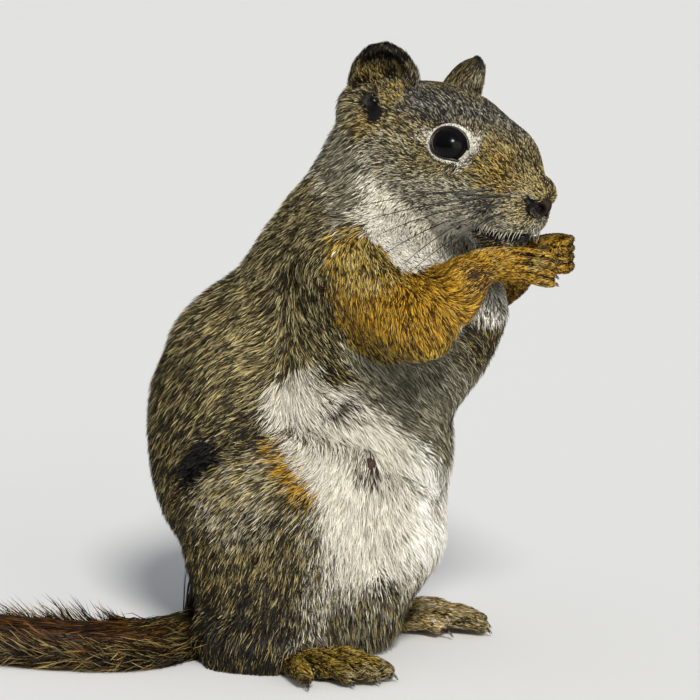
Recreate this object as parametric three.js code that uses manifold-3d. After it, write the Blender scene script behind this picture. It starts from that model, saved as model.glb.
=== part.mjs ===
// An American red squirrel at life size, sitting up on its haunches with both hands held to its mouth.
// Millimetres. +X is forward, +Y is the animal's left, +Z is up. The origin is on the floor, under the hips,
// on the flat that the squirrel sits on.
//
// The body is one blended field of simple rounded forms, from the rump to the nose, and its surface is the
// tips of the coat. Each named part is that surface inside a region of its own, so that neighbours meet along
// clean cuts. Forearms, hands, feet, claws and tail are swept limbs, carved to stay clear of the body.
import * as THREE from "three";
import { mergeVertices } from "three/addons/utils/BufferGeometryUtils.js";
import Module from "manifold-3d";

const wasm = await Module();
wasm.setup();

const vec = (x, y, z) => new THREE.Vector3(x, y, z);
const degrees = THREE.MathUtils.degToRad;
const RIGHT = -1; // the sign of Y on the animal's right side
const LEFT = 1;
const SIDES = { right: RIGHT, left: LEFT };

// ---------------------------------------------------------------- driving dimensions
const GAP = 0.3; // between flat cuts
const CLEAR = 0.5; // between a carved part and the faceted body
const SEAT_SINK = 1.2; // how far the soft underside is pressed flat on the floor
const BLOCK = 400; // larger than the animal, for cutting blocks

// The boxes that the body's and the head's surfaces are found in, and the size of their facets.
const BODY_GRID = { low: vec(-50, -52, -9), high: vec(96, 52, 158), cell: 6.7 };
const HEAD_GRID = { low: vec(18, -36, 94), high: vec(100, 36, 158), cell: 3.7 };

// The trunk, from rump to neck: where each form sits and its half sizes.
const RUMP = { at: vec(4.5, 0, 28), half: vec(28, 23, 30) };
const LAP = { at: vec(17.5, 0, 26), half: vec(27, 21, 25) };
const BELLY = { at: vec(15.5, 0, 51), half: vec(34.5, 28, 34) };
const LOIN = { at: vec(4, 0, 58), half: vec(35.4, 27, 38) };
const CHEST = { at: vec(31, 0, 87.5), half: vec(33, 22, 24.5) };
const NECK = { from: vec(24, 0, 96), to: vec(38.5, -3, 126), radii: [22.5, 17.5] };
const TRUNK_BLEND = 12;
const NECK_BLEND = 9;
const NECK_CUT = { point: vec(8, 0, 111), normal: vec(0.36, 0, 0.93) };

// The haunch is the thigh and the folded shank under one coat.
const HIP = { at: vec(8.5, 20, 30), half: vec(21, 14, 30) };
const KNEE = { at: vec(17, 24, 40), half: vec(12, 9, 14) };
const SHANK = { from: vec(19, 23, 36), to: vec(15, 21, 7), radii: [9.5, 9] };
const HOCK = { at: vec(9.5, 21.5, 5.5), half: vec(17, 12.8, 10) };
const HAUNCH_BLEND = 7;
const HAUNCH_REGION = { at: vec(9.5, 28, 29), half: vec(29, 20, 37) };

// The head's own frame: +X to the nose, with the line between the eyes through its origin.
const HEAD_AT = vec(60.6, -2.8, 131.5);
const HEAD_TURN = degrees(-17); // towards the animal's right
const HEAD_TILT = degrees(-11); // right side up
const CRANIUM = { at: vec(-12, 0, 0), half: vec(17, 14, 12.5) };
const FACE = { at: vec(2.5, 0, -5), half: vec(14.5, 10.6, 11) };
const MUZZLE = { from: vec(8, 0, -8.5), to: vec(18.6, 0, -13), radii: [8, 5.4] };
const CHEEK = { at: vec(0, 6.5, -11), half: vec(13, 8, 10) };
const JAW = { from: vec(0, 0, -15), to: vec(13.5, 0, -18.5), radii: [7.5, 4] };
const EAR_ROOT = { at: vec(-24, 9.5, 0), half: vec(8.5, 6, 8) };
const HEAD_BLEND = 5;
const HEAD_CUT = { point: vec(-24, 0, 7), normal: vec(0.8, 0.08, 0.6) };
const EYE_AT = vec(-1.8, 9.6, -1.6);
const EYE_RADIUS = 5.3;
const NOSE = { at: vec(22.9, 0, -13.2), half: vec(2.2, 3, 2.6) };

const EAR = { at: vec(-21.8, 13.9, 10.2), half: vec(8.6, 4.8, 12.2) };
const EAR_WALL = 1.3;
const EAR_DEPTH = 4.8; // of the bowl, from the rim to the back wall
const EAR_SPLAY = degrees(20); // the tip leans outwards
const EAR_TURN = degrees(28); // the bowl opens outwards and forwards

// Arms: shoulder, elbow, wrist and the hand, for each side. The hands meet in front of the turned head.
const ARM = {
  right: {
    shoulder: vec(34, -17, 102),
    elbow: vec(54, -25, 89.5),
    wrist: vec(64, -14, 103.5),
    knuckles: vec(75.5, -11.5, 104.4),
    bend: vec(80, -11, 103.4),
    tips: vec(81.3, -6.8, 102),
  },
  left: {
    shoulder: vec(33, 16, 102),
    elbow: vec(46, 20, 90),
    wrist: vec(68, 8, 103),
    knuckles: vec(79, 6.5, 105.5),
    bend: vec(82.6, 1.5, 105),
    tips: vec(78.5, -3.6, 104.6),
  },
};
const UPPER_ARM_RADII = [14, 11];
const ARM_BLEND = 8;
const ARM_REGION_HALF = vec(23, 15, 17);
const ARM_REGION_OUT = 5; // the region's middle lies this far outwards of the arm's own
const FOREARM_RADII = [8.5, 8.5, 5.2];
const WRIST_BACK = 1.5; // the cut at the wrist lies this far up the forearm
const PALM_HALF_DEPTHS = [4.6, 4.2, 3.2, 2.1]; // from the wrist to the knuckles
const PALM_HALF_HEIGHTS = [4.6, 4.4, 4.9, 4.4];
const FINGERS = 4;
const FINGER_RADIUS = 1.45;
const FINGER_SPREAD = 2.1; // between neighbouring fingers, the first one on top
const FINGER_CLAW = { length: 2.4, radius: 0.6, arch: 0.2, droop: vec(-0.8, 0, -0.4) };

// Hind feet, flat on the floor: where the heel is and how far the foot turns out.
const FOOT = {
  right: { heel: vec(-2, -17, 0), turn: degrees(-20.6) },
  left: { heel: vec(1, 14, 0), turn: degrees(25) },
};
const SOLE = [
  { ahead: 0, height: 3.6, halfWidth: 4.5, halfHeight: 4.2 },
  { ahead: 10, height: 3.8, halfWidth: 5.2, halfHeight: 4.4 },
  { ahead: 22, height: 3.8, halfWidth: 6, halfHeight: 4.2 },
  { ahead: 33, height: 3, halfWidth: 7.4, halfHeight: 3.5 },
  { ahead: 38, height: 2, halfWidth: 5, halfHeight: 2.4 },
]; // from the heel to the ball of the foot
const TOE_BASE = 28; // ahead of the heel
// The toes' tips, ahead of the heel and outwards from the foot's middle line, inner toe first.
const TOES = [
  { ahead: 37.6, across: -11 },
  { ahead: 47.1, across: -8.4 },
  { ahead: 47.1, across: -2.8 },
  { ahead: 44.6, across: 3 },
  { ahead: 39.1, across: 11.5 },
];
const TOE_RADIUS = 2.8;
const TOE_ARCH = 1.5; // how far a toe's knuckle is raised
const TOE_CLAW = { length: 3.2, radius: 0.75, arch: 0.8, rootHeight: 2.2, tipHeight: 0.8 };

// The tail lies on the floor and is swept to the animal's right.
const TAIL_ROUTE = [
  vec(-12, -12, 4),
  vec(-19, -29, 3.6),
  vec(-36, -38.5, 3.6),
  vec(-64, -40.5, 3.8),
  vec(-92, -37, 3.8),
  vec(-118, -30, 3.4),
  vec(-138, -21, 2),
];
const TAIL_HALF_WIDTH = [11, 15.5, 15.5, 15.5, 15, 11, 1.5];
const TAIL_HALF_HEIGHT = [7, 7.4, 8.4, 8.6, 8.4, 6.6, 1.5];
const TAIL_LENGTHS = ["tail_root", "tail_middle", "tail_end"];
const TAIL_GAP = 0.0025; // between two lengths, as a share of the whole route

// ---------------------------------------------------------------- fields: negative inside, in millimetres
const ellipsoid = ({ at, half }) => (p) => {
  const x = (p.x - at.x) / half.x;
  const y = (p.y - at.y) / half.y;
  const z = (p.z - at.z) / half.z;
  const k = Math.hypot(x, y, z);
  const slope = Math.hypot(x / half.x, y / half.y, z / half.z);
  return slope > 0 ? (k * (k - 1)) / slope : -Math.min(half.x, half.y, half.z);
};

const cone = ({ from, to, radii }) => {
  const axis = to.clone().sub(from);
  const lengthSq = axis.lengthSq();
  return (p) => {
    const offset = p.clone().sub(from);
    const t = THREE.MathUtils.clamp(offset.dot(axis) / lengthSq, 0, 1);
    return offset.addScaledVector(axis, -t).length() - THREE.MathUtils.lerp(radii[0], radii[1], t);
  };
};

// A smooth union: forms closer than `reach` swell into each other.
const blend = (reach, ...fields) => (p) =>
  fields
    .map((field) => field(p))
    .reduce((a, b) => {
      const h = Math.max(reach - Math.abs(a - b), 0) / reach;
      return Math.min(a, b) - (h * h * reach) / 4;
    });

const inFrame = (frame, field) => {
  const inverse = frame.clone().invert();
  return (p) => field(p.clone().applyMatrix4(inverse));
};

const mirrored = (form) => {
  const copy = { ...form };
  for (const key of ["at", "from", "to"]) {
    if (form[key]) copy[key] = vec(form[key].x, -form[key].y, form[key].z);
  }
  return copy;
};
const onSide = (form, side) => (side === LEFT ? form : mirrored(form));

// ---------------------------------------------------------------- meshes and solids
function solidOf(geometry, matrix = new THREE.Matrix4()) {
  const bare = new THREE.BufferGeometry().setAttribute("position", geometry.getAttribute("position").clone());
  if (geometry.index) bare.setIndex(geometry.index);
  const merged = mergeVertices(bare.applyMatrix4(matrix), 1e-3);
  return new wasm.Manifold(
    new wasm.Mesh({
      numProp: 3,
      vertProperties: merged.attributes.position.array,
      triVerts: new Uint32Array(merged.index.array),
    }),
  );
}

function geometryOf(solid) {
  const mesh = solid.getMesh();
  const points = new Float32Array(mesh.numVert * 3);
  for (let i = 0; i < mesh.numVert; i++) {
    points.set(mesh.vertProperties.subarray(i * mesh.numProp, i * mesh.numProp + 3), i * 3);
  }
  const geometry = new THREE.BufferGeometry();
  geometry.setAttribute("position", new THREE.BufferAttribute(points, 3));
  geometry.setIndex(new THREE.BufferAttribute(mesh.triVerts, 1));
  geometry.computeVertexNormals();
  return geometry;
}

// The closed surface of a field inside a box: a vertex in each grid cell for each sheet of surface that
// passes through it, moved onto the surface, and one square across each grid edge that the surface crosses.
const CORNERS = [0, 1, 2, 3, 4, 5, 6, 7].map((n) => [n & 1, (n >> 1) & 1, (n >> 2) & 1]);
const CELL_FACES = [
  [0, 2, 6, 4],
  [1, 3, 7, 5],
  [0, 1, 5, 4],
  [2, 3, 7, 6],
  [0, 1, 3, 2],
  [4, 5, 7, 6],
];
const edgeName = (m, n) => Math.min(m, n) * 3 + [1, 2, 4].indexOf(m ^ n);

// The cell's crossed edges, grouped by the sheet of surface that crosses them.
function sheetsOf(corner) {
  const sheets = [];
  const join = (...names) => {
    const met = sheets.filter((sheet) => names.some((name) => sheet.has(name)));
    const whole = new Set([...names, ...met.flatMap((sheet) => [...sheet])]);
    met.forEach((sheet) => sheets.splice(sheets.indexOf(sheet), 1));
    sheets.push(whole);
  };
  for (const face of CELL_FACES) {
    const names = face.map((m, n) => edgeName(m, face[(n + 1) % 4]));
    const crossed = names.filter((_, n) => corner[face[n]] < 0 !== corner[face[(n + 1) % 4]] < 0);
    if (crossed.length === 2) join(...crossed);
    if (crossed.length === 4) {
      face.forEach((m, n) => {
        if (corner[m] < 0) join(names[n], names[(n + 3) % 4]);
      });
    }
  }
  return sheets;
}

function surfaceOf(field, low, high, cell) {
  const counts = ["x", "y", "z"].map((axis) => Math.ceil((high[axis] - low[axis]) / cell) + 1);
  const [nx, ny, nz] = counts;
  const at = (i, j, k) => (k * ny + j) * nx + i;
  const point = (i, j, k) => vec(low.x + i * cell, low.y + j * cell, low.z + k * cell);
  const edgeOfBox = (i, j, k) => Math.min(i, j, k, nx - 1 - i, ny - 1 - j, nz - 1 - k) === 0;
  const values = new Float64Array(nx * ny * nz);
  for (let k = 0; k < nz; k++) {
    for (let j = 0; j < ny; j++) {
      for (let i = 0; i < nx; i++) {
        const value = field(point(i, j, k));
        values[at(i, j, k)] = edgeOfBox(i, j, k) ? Math.max(value, cell / 2) : value;
      }
    }
  }

  const points = [];
  const vertexOf = new Map();
  for (let k = 0; k < nz - 1; k++) {
    for (let j = 0; j < ny - 1; j++) {
      for (let i = 0; i < nx - 1; i++) {
        const corner = CORNERS.map(([a, b, c]) => values[at(i + a, j + b, k + c)]);
        for (const sheet of sheetsOf(corner)) {
          const middle = vec(0, 0, 0);
          for (const name of sheet) {
            const m = Math.floor(name / 3);
            const n = m | (1 << name % 3);
            const t = corner[m] / (corner[m] - corner[n]);
            middle.add(vec(...CORNERS[m]).lerp(vec(...CORNERS[n]), t));
            vertexOf.set(at(i, j, k) * 24 + name, points.length);
          }
          middle.multiplyScalar(cell / sheet.size).add(point(i, j, k));
          points.push(ontoSurface(field, middle, cell));
        }
      }
    }
  }

  const triangles = [];
  const around = [
    [1, 1],
    [0, 1],
    [0, 0],
    [1, 0],
  ];
  const square = (i, j, k, axis, flip) => {
    const [u, v] = [(axis + 1) % 3, (axis + 2) % 3];
    const [a, b, c, d] = around.map(([du, dv]) => {
      const cellAt = [i, j, k];
      cellAt[u] -= du;
      cellAt[v] -= dv;
      return vertexOf.get(at(...cellAt) * 24 + ((du << u) | (dv << v)) * 3 + axis);
    });
    const shortAC = points[a].distanceToSquared(points[c]) < points[b].distanceToSquared(points[d]);
    const pair = shortAC ? [[a, b, c], [a, c, d]] : [[a, b, d], [b, c, d]];
    for (const [p, q, r] of pair) triangles.push(...(flip ? [p, r, q] : [p, q, r]));
  };
  for (let k = 0; k < nz - 1; k++) {
    for (let j = 0; j < ny - 1; j++) {
      for (let i = 0; i < nx - 1; i++) {
        const inside = values[at(i, j, k)] < 0;
        if (inside !== values[at(i + 1, j, k)] < 0) square(i, j, k, 0, !inside);
        if (inside !== values[at(i, j + 1, k)] < 0) square(i, j, k, 1, !inside);
        if (inside !== values[at(i, j, k + 1)] < 0) square(i, j, k, 2, !inside);
      }
    }
  }
  const geometry = new THREE.BufferGeometry().setFromPoints(points);
  geometry.setIndex(triangles);
  return solidOf(geometry);
}

function ontoSurface(field, start, cell) {
  const step = 0.05;
  const p = start.clone();
  for (let n = 0; n < 3; n++) {
    const value = field(p);
    const slope = vec(
      field(p.clone().add(vec(step, 0, 0))) - value,
      field(p.clone().add(vec(0, step, 0))) - value,
      field(p.clone().add(vec(0, 0, step))) - value,
    ).divideScalar(step);
    p.addScaledVector(slope, -value / Math.max(slope.lengthSq(), 0.2));
  }
  const moved = p.clone().sub(start);
  return start.clone().add(moved.clampLength(0, cell * 0.6));
}

// A closed tube through rings of points: ring(t) gives the ring at t from 0 to 1.
function loft(ring, rings, sides) {
  const points = [];
  for (let i = 0; i <= rings; i++) points.push(...ring(i / rings));
  const first = points.length;
  for (const start of [0, rings * sides]) {
    const middle = vec(0, 0, 0);
    for (let s = 0; s < sides; s++) middle.add(points[start + s]);
    points.push(middle.divideScalar(sides));
  }
  const triangles = [];
  for (let i = 0; i < rings; i++) {
    for (let s = 0; s < sides; s++) {
      const [a, b] = [i * sides + s, i * sides + ((s + 1) % sides)];
      triangles.push(a, b, b + sides, a, b + sides, a + sides);
    }
  }
  for (let s = 0; s < sides; s++) {
    const next = (s + 1) % sides;
    triangles.push(first, next, s, first + 1, rings * sides + s, rings * sides + next);
  }
  const geometry = new THREE.BufferGeometry().setFromPoints(points);
  geometry.setIndex(triangles);
  return solidOf(geometry);
}

// A ring of points across `tangent`, `wide` to each side and `high` up and down.
function oval(centre, tangent, wide, high, sides) {
  const side = vec(0, 0, 1).cross(tangent).normalize();
  const top = tangent.clone().cross(side).normalize();
  return Array.from({ length: sides }, (_, s) => {
    const angle = (2 * Math.PI * s) / sides;
    return centre
      .clone()
      .addScaledVector(side, wide * Math.cos(angle))
      .addScaledVector(top, high * Math.sin(angle));
  });
}

// A value at t from 0 to 1 along a list, eased between its entries.
function eased(values, t) {
  const place = t * (values.length - 1);
  const i = Math.min(Math.floor(place), values.length - 2);
  return THREE.MathUtils.lerp(values[i], values[i + 1], THREE.MathUtils.smoothstep(place - i, 0, 1));
}

// A swept limb: a curve through its joints, with half widths and half heights along it.
function limb(joints, wide, high, { rings, sides, from = 0, to = 1 }) {
  const curve = new THREE.CatmullRomCurve3(joints, false, "centripetal");
  const ring = (t) => {
    const u = THREE.MathUtils.lerp(from, to, t);
    return oval(curve.getPoint(u), curve.getTangent(u).normalize(), eased(wide, u), eased(high, u), sides);
  };
  return loft(ring, rings, sides);
}

const ball = ({ at, half }, grow = 0, frame = new THREE.Matrix4(), detail = 12) => {
  const shape = new THREE.SphereGeometry(1, detail, Math.round(detail * 0.66));
  const place = new THREE.Matrix4().compose(at, new THREE.Quaternion(), half.clone().addScalar(grow));
  return solidOf(shape, frame.clone().multiply(place));
};

// Everything on the side of a plane that its normal points to.
function beyond(point, normal) {
  const turn = new THREE.Quaternion().setFromUnitVectors(vec(0, 0, 1), normal.clone().normalize());
  const centre = point.clone().addScaledVector(normal.clone().normalize(), BLOCK / 2);
  const place = new THREE.Matrix4().compose(centre, turn, vec(1, 1, 1));
  return solidOf(new THREE.BoxGeometry(BLOCK, BLOCK, BLOCK), place);
}

// ---------------------------------------------------------------- the body's field
const headFrame = new THREE.Matrix4().compose(
  HEAD_AT,
  new THREE.Quaternion().setFromEuler(new THREE.Euler(HEAD_TILT, 0, HEAD_TURN, "ZYX")),
  vec(1, 1, 1),
);
const inHead = (point) => point.clone().applyMatrix4(headFrame);

const headField = inFrame(
  headFrame,
  blend(
    HEAD_BLEND,
    ellipsoid(CRANIUM),
    ellipsoid(FACE),
    cone(MUZZLE),
    ellipsoid(CHEEK),
    ellipsoid(mirrored(CHEEK)),
    ellipsoid(EAR_ROOT),
    ellipsoid(mirrored(EAR_ROOT)),
    cone(JAW),
  ),
);
const upperArmField = (side) =>
  cone({ from: ARM[side].shoulder, to: ARM[side].elbow, radii: UPPER_ARM_RADII });
const haunchField = (sign) =>
  blend(
    HAUNCH_BLEND,
    ellipsoid(onSide(HIP, sign)),
    ellipsoid(onSide(KNEE, sign)),
    ellipsoid(onSide(HOCK, sign)),
    cone(onSide(SHANK, sign)),
  );
const trunkField = blend(
  TRUNK_BLEND,
  ellipsoid(RUMP),
  ellipsoid(LAP),
  ellipsoid(BELLY),
  ellipsoid(LOIN),
  ellipsoid(CHEST),
  cone(NECK),
);

const bodyField = blend(
  HAUNCH_BLEND,
  blend(NECK_BLEND, blend(ARM_BLEND, trunkField, upperArmField("right"), upperArmField("left")), headField),
  haunchField(RIGHT),
  haunchField(LEFT),
);

// ---------------------------------------------------------------- cuts between the parts of the body
const floor = beyond(vec(0, 0, 0), vec(0, 0, 1));
const cutAt = ({ point, normal }, gap = 0) =>
  beyond(point.clone().addScaledVector(normal.clone().normalize(), -gap), normal);
const headCut = {
  point: inHead(HEAD_CUT.point),
  normal: HEAD_CUT.normal.clone().transformDirection(new THREE.Matrix4().makeRotationZ(HEAD_TURN)),
};

function armRegion(side, sign, grow = 0) {
  const { shoulder, elbow } = ARM[side];
  const middle = shoulder.clone().lerp(elbow, 0.62).add(vec(0, sign * ARM_REGION_OUT, 0));
  const along = elbow.clone().sub(shoulder).normalize();
  const turn = new THREE.Quaternion().setFromUnitVectors(vec(1, 0, 0), along);
  const frame = new THREE.Matrix4().compose(middle, turn, vec(1, 1, 1));
  return ball({ at: vec(0, 0, 0), half: ARM_REGION_HALF }, grow, frame);
}

const haunchRegion = (sign, grow = 0) => ball(onSide(HAUNCH_REGION, sign), grow);

// The faceted surfaces that the parts are cut from, and the same grown outwards to carve what meets them.
const lowered = (p) => bodyField(p.clone().add(vec(0, 0, -SEAT_SINK)));
const bodySurface = (grow, { low, high, cell }) => surfaceOf((p) => lowered(p) - grow, low, high, cell);
const torso = bodySurface(0, BODY_GRID).intersect(floor).subtract(cutAt(headCut, GAP));
const roundBody = bodySurface(CLEAR, BODY_GRID);
const roundHead = bodySurface(CLEAR, HEAD_GRID);
const clearOfBody = (solid) => solid.subtract(roundBody).subtract(roundHead);

// ---------------------------------------------------------------- materials
const material = (color, roughness) => new THREE.MeshStandardMaterial({ color, roughness, metalness: 0 });
const agouti = material(0x6f6041, 0.85);
const russet = material(0x9a6a22, 0.85);
const tailCoat = material(0x6b4a20, 0.85);
const eyeBlack = material(0x07070c, 0.06);
const noseSkin = material(0x3a2b24, 0.5);
const clawHorn = material(0x1d1612, 0.35);

const squirrel = new THREE.Group();
function add(name, solid, finish) {
  const mesh = new THREE.Mesh(geometryOf(solid), finish);
  mesh.name = name;
  squirrel.add(mesh);
}

// ---------------------------------------------------------------- trunk, haunches, upper arms and neck
let trunk = torso.subtract(cutAt(NECK_CUT, GAP));
let neck = torso.intersect(cutAt(NECK_CUT));
for (const [side, sign] of Object.entries(SIDES)) {
  const haunch = haunchRegion(sign, GAP);
  const arm = armRegion(side, sign, GAP);
  add(`${side}_haunch`, torso.intersect(haunchRegion(sign)), agouti);
  add(`${side}_upper_arm`, torso.intersect(armRegion(side, sign)).subtract(haunch), russet);
  trunk = trunk.subtract(haunch).subtract(arm);
  neck = neck.subtract(arm);
}
add("trunk", trunk, agouti);
add("neck", neck, agouti);

// ---------------------------------------------------------------- head, nose, eyes and ears
let head = bodySurface(0, HEAD_GRID).intersect(cutAt(headCut)).subtract(ball(NOSE, GAP, headFrame));
for (const [side, sign] of Object.entries(SIDES)) {
  const eyeball = onSide({ at: EYE_AT, half: vec(EYE_RADIUS, EYE_RADIUS, EYE_RADIUS) }, sign);
  head = head.subtract(ball(eyeball, GAP, headFrame));
  add(`${side}_eye`, ball(eyeball, 0, headFrame), eyeBlack);
  add(`${side}_ear`, makeEar(sign), agouti);
}
add("head", head, agouti);
add("nose", ball(NOSE, 0, headFrame, 10), noseSkin);

// A rounded shell with an open bowl on its outer side.
function makeEar(sign) {
  const lean = new THREE.Euler(-sign * EAR_SPLAY, 0, -sign * EAR_TURN, "ZYX");
  const turn = new THREE.Quaternion().setFromEuler(lean);
  const place = new THREE.Matrix4().compose(onSide(EAR, sign).at, turn, vec(1, 1, 1));
  const frame = headFrame.clone().multiply(place);
  const { half } = EAR;
  const shell = { at: vec(0, 0, 0), half };
  const bowl = {
    at: vec(0, sign * (2 * half.y - EAR_DEPTH - EAR_WALL), 0.4),
    half: vec(half.x - EAR_WALL, half.y, half.z - EAR_WALL),
  };
  return clearOfBody(ball(shell, 0, frame).subtract(ball(bowl, 0, frame, 10)));
}

// ---------------------------------------------------------------- forearms, hands and finger claws
for (const [side, sign] of Object.entries(SIDES)) {
  const { elbow, wrist, knuckles, bend, tips } = ARM[side];
  const towards = wrist.clone().sub(elbow).normalize();
  const wristCut = { point: wrist.clone().addScaledVector(towards, -WRIST_BACK), normal: towards };
  const middle = elbow.clone().lerp(wrist, 0.5).add(vec(0, sign * 0.6, -0.6));
  const forearm = limb([elbow, middle, wrist], FOREARM_RADII, FOREARM_RADII, { rings: 3, sides: 10 });
  add(`${side}_forearm`, forearm.subtract(roundBody).subtract(cutAt(wristCut, GAP)), russet);

  const heelOfHand = wrist.clone().addScaledVector(towards, -6);
  const palmLine = [heelOfHand, wrist, wrist.clone().lerp(knuckles, 0.55), knuckles];
  const palm = limb(palmLine, PALM_HALF_DEPTHS, PALM_HALF_HEIGHTS, { rings: 3, sides: 8 });
  let hand = palm.intersect(cutAt(wristCut));
  for (let n = 0; n < FINGERS; n++) {
    const raise = vec(0, 0, ((FINGERS - 1) / 2 - n) * FINGER_SPREAD);
    const base = knuckles.clone().add(raise).lerp(wrist, 0.12);
    const turn = bend.clone().addScaledVector(raise, 1.1);
    const tip = tips.clone().addScaledVector(raise, 0.95);
    hand = hand.add(digit(base, turn, tip, FINGER_RADIUS));
    const outwards = tip.clone().sub(turn).normalize();
    const clawRoot = tip.clone().addScaledVector(outwards, CLEAR);
    const clawTip = clawRoot.clone().addScaledVector(outwards, FINGER_CLAW.length).add(FINGER_CLAW.droop);
    add(`${side}_finger_claw_${n + 1}`, claw(clawRoot, clawTip, FINGER_CLAW), clawHorn);
  }
  add(`${side}_hand`, clearOfBody(hand), russet);
}

function digit(base, bend, tip, radius) {
  const radii = [radius, radius, radius * 0.75];
  return limb([base, bend, tip], radii, radii, { rings: 3, sides: 6 });
}

function claw(root, tip, { radius, arch }) {
  const middle = root.clone().lerp(tip, 0.55).add(vec(0, 0, arch));
  const radii = [radius, radius * 0.75, 0.25];
  return limb([root, middle, tip], radii, radii, { rings: 2, sides: 4 });
}

// ---------------------------------------------------------------- feet and toe claws
for (const [side, sign] of Object.entries(SIDES)) {
  const { heel, turn } = FOOT[side];
  const forwards = vec(Math.cos(turn), Math.sin(turn), 0);
  const outwards = vec(0, 0, 1).cross(forwards).multiplyScalar(sign);
  const spot = (ahead, across, height) =>
    heel.clone().addScaledVector(forwards, ahead).addScaledVector(outwards, across).setZ(height);
  let foot = limb(
    SOLE.map(({ ahead, height }) => spot(ahead, 0, height)),
    SOLE.map(({ halfWidth }) => halfWidth),
    SOLE.map(({ halfHeight }) => halfHeight),
    { rings: 5, sides: 10 },
  );
  TOES.forEach(({ ahead, across }, n) => {
    const base = spot(TOE_BASE, across * 0.45, TOE_RADIUS);
    const tip = spot(ahead, across, TOE_RADIUS * 0.75);
    const knuckle = base.clone().lerp(tip, 0.7).setZ(TOE_RADIUS + TOE_ARCH);
    foot = foot.add(digit(base, knuckle, tip, TOE_RADIUS));
    const onwards = tip.clone().sub(base).setZ(0).normalize();
    const clawRoot = tip.clone().addScaledVector(onwards, CLEAR).setZ(TOE_CLAW.rootHeight);
    const clawTip = clawRoot.clone().addScaledVector(onwards, TOE_CLAW.length).setZ(TOE_CLAW.tipHeight);
    add(`${side}_toe_claw_${n + 1}`, claw(clawRoot, clawTip, TOE_CLAW), clawHorn);
  });
  add(`${side}_foot`, clearOfBody(foot).intersect(floor), russet);
}

// ---------------------------------------------------------------- tail
TAIL_LENGTHS.forEach((name, n) => {
  const from = n / TAIL_LENGTHS.length + (n > 0 ? TAIL_GAP : 0);
  const to = (n + 1) / TAIL_LENGTHS.length;
  const piece = limb(TAIL_ROUTE, TAIL_HALF_WIDTH, TAIL_HALF_HEIGHT, { rings: 5, sides: 12, from, to });
  add(name, clearOfBody(piece).intersect(floor), tailCoat);
});

export default squirrel;
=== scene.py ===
"""The looks of a red squirrel around its CAD frame: skin, a coat of mesh hairs, eyes, nose and whiskers.

Shapes are worked out in millimetres in the row frame, +X ahead, +Y the animal's left and +Z up, and made in
metres.
The head's features are placed in the head's own frame: its origin is midway between the eyes.
"""

import math

import bmesh
import bpy
import numpy as np
from mathutils import Matrix, Quaternion, Vector
from mathutils.bvhtree import BVHTree
from mathutils.kdtree import KDTree


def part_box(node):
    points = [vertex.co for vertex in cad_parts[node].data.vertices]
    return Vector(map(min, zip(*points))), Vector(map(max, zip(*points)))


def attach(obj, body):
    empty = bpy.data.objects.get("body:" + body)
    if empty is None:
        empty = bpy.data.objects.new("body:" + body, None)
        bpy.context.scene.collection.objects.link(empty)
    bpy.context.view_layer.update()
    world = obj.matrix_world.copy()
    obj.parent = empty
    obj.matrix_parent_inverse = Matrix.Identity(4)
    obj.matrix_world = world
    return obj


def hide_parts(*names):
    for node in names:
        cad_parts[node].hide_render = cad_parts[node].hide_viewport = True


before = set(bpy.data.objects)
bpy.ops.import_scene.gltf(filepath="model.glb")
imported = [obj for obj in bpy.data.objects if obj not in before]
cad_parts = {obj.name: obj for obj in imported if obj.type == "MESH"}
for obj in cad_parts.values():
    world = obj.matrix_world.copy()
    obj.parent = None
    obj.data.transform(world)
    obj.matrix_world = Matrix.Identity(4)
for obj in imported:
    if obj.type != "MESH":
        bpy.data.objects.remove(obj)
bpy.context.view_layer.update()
rng = np.random.default_rng(11)

MM = 0.001
SIDES = {"right": -1, "left": 1}
OTHER = {"right": "left", "left": "right"}

# ---- driving sizes, in millimetres
VOXEL = 0.6  # the skin's grain while it is shaped
SWELL = 0.35  # closes the cuts between the CAD parts before they are joined
NEIGHBOURS = 6  # the most that count for one point of the skin
SMOOTH_IN = 0.6  # the share of the way to its neighbours that smoothing takes a point
SMOOTH_OUT = -0.61  # and back out again, so that the form keeps its size
SKIN_TRIANGLES = 185000
FLOOR_CLEAR = 0.15  # no hair reaches below this height

# For each part of the body: the coat's depth, how long and wide its hairs are, how many grow on a square
# millimetre, how far their tips gather into locks, and how many rounds of smoothing its skin gets.
COLUMNS = ["depth", "length", "width", "count", "lock", "smooth"]
PARTS = {
    "trunk": (3.0, 5.4, 0.22, 7.4, 0.45, 120),
    "haunch": (2.6, 4.6, 0.21, 8.4, 0.4, 105),
    "neck": (2.4, 4.2, 0.21, 9.8, 0.4, 105),
    "upper_arm": (1.9, 3.6, 0.21, 11, 0.4, 80),
    "forearm": (0.9, 2.6, 0.19, 15, 0.35, 30),
    "hand": (0.35, 1.6, 0.16, 22, 0.3, 5),
    "foot": (0.55, 2.4, 0.18, 18, 0.35, 10),
    "head": (0.9, 2.1, 0.18, 21, 0.35, 34),
    "ear": (0.4, 2.2, 0.15, 20, 0.3, 70),
    "tail": (0.2, 15.0, 0.28, 13, 0.45, 45),
}
PART_NAMES = list(PARTS)

# The tail's bone line runs along the middle of the CAD tail. Its flesh is this share of the CAD tail's width.
TAIL_ROUTE = [(-12, -12, 4.2), (-19, -29, 4.4), (-36, -38.5, 4.6), (-64, -40.5, 4.8), (-92, -37, 4.6),
              (-118, -30, 4.0), (-138, -21, 2)]
TAIL_FLESH = [0.78, 0.6, 0.52, 0.5, 0.48, 0.48, 0.48]

# The head's frame: its ahead axis lies this far above the line from between the eyes to the nose.
NOSE_SLOPE = math.radians(25.2)
EYE_RADIUS = 5.3
LID_THICKNESS = 0.45
LOOK = (0.42, 0.86, 0.22)  # the way the left eye faces, in the head's frame


# ---- small helpers
def norm(v):
    return np.linalg.norm(v, axis=-1)


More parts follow.
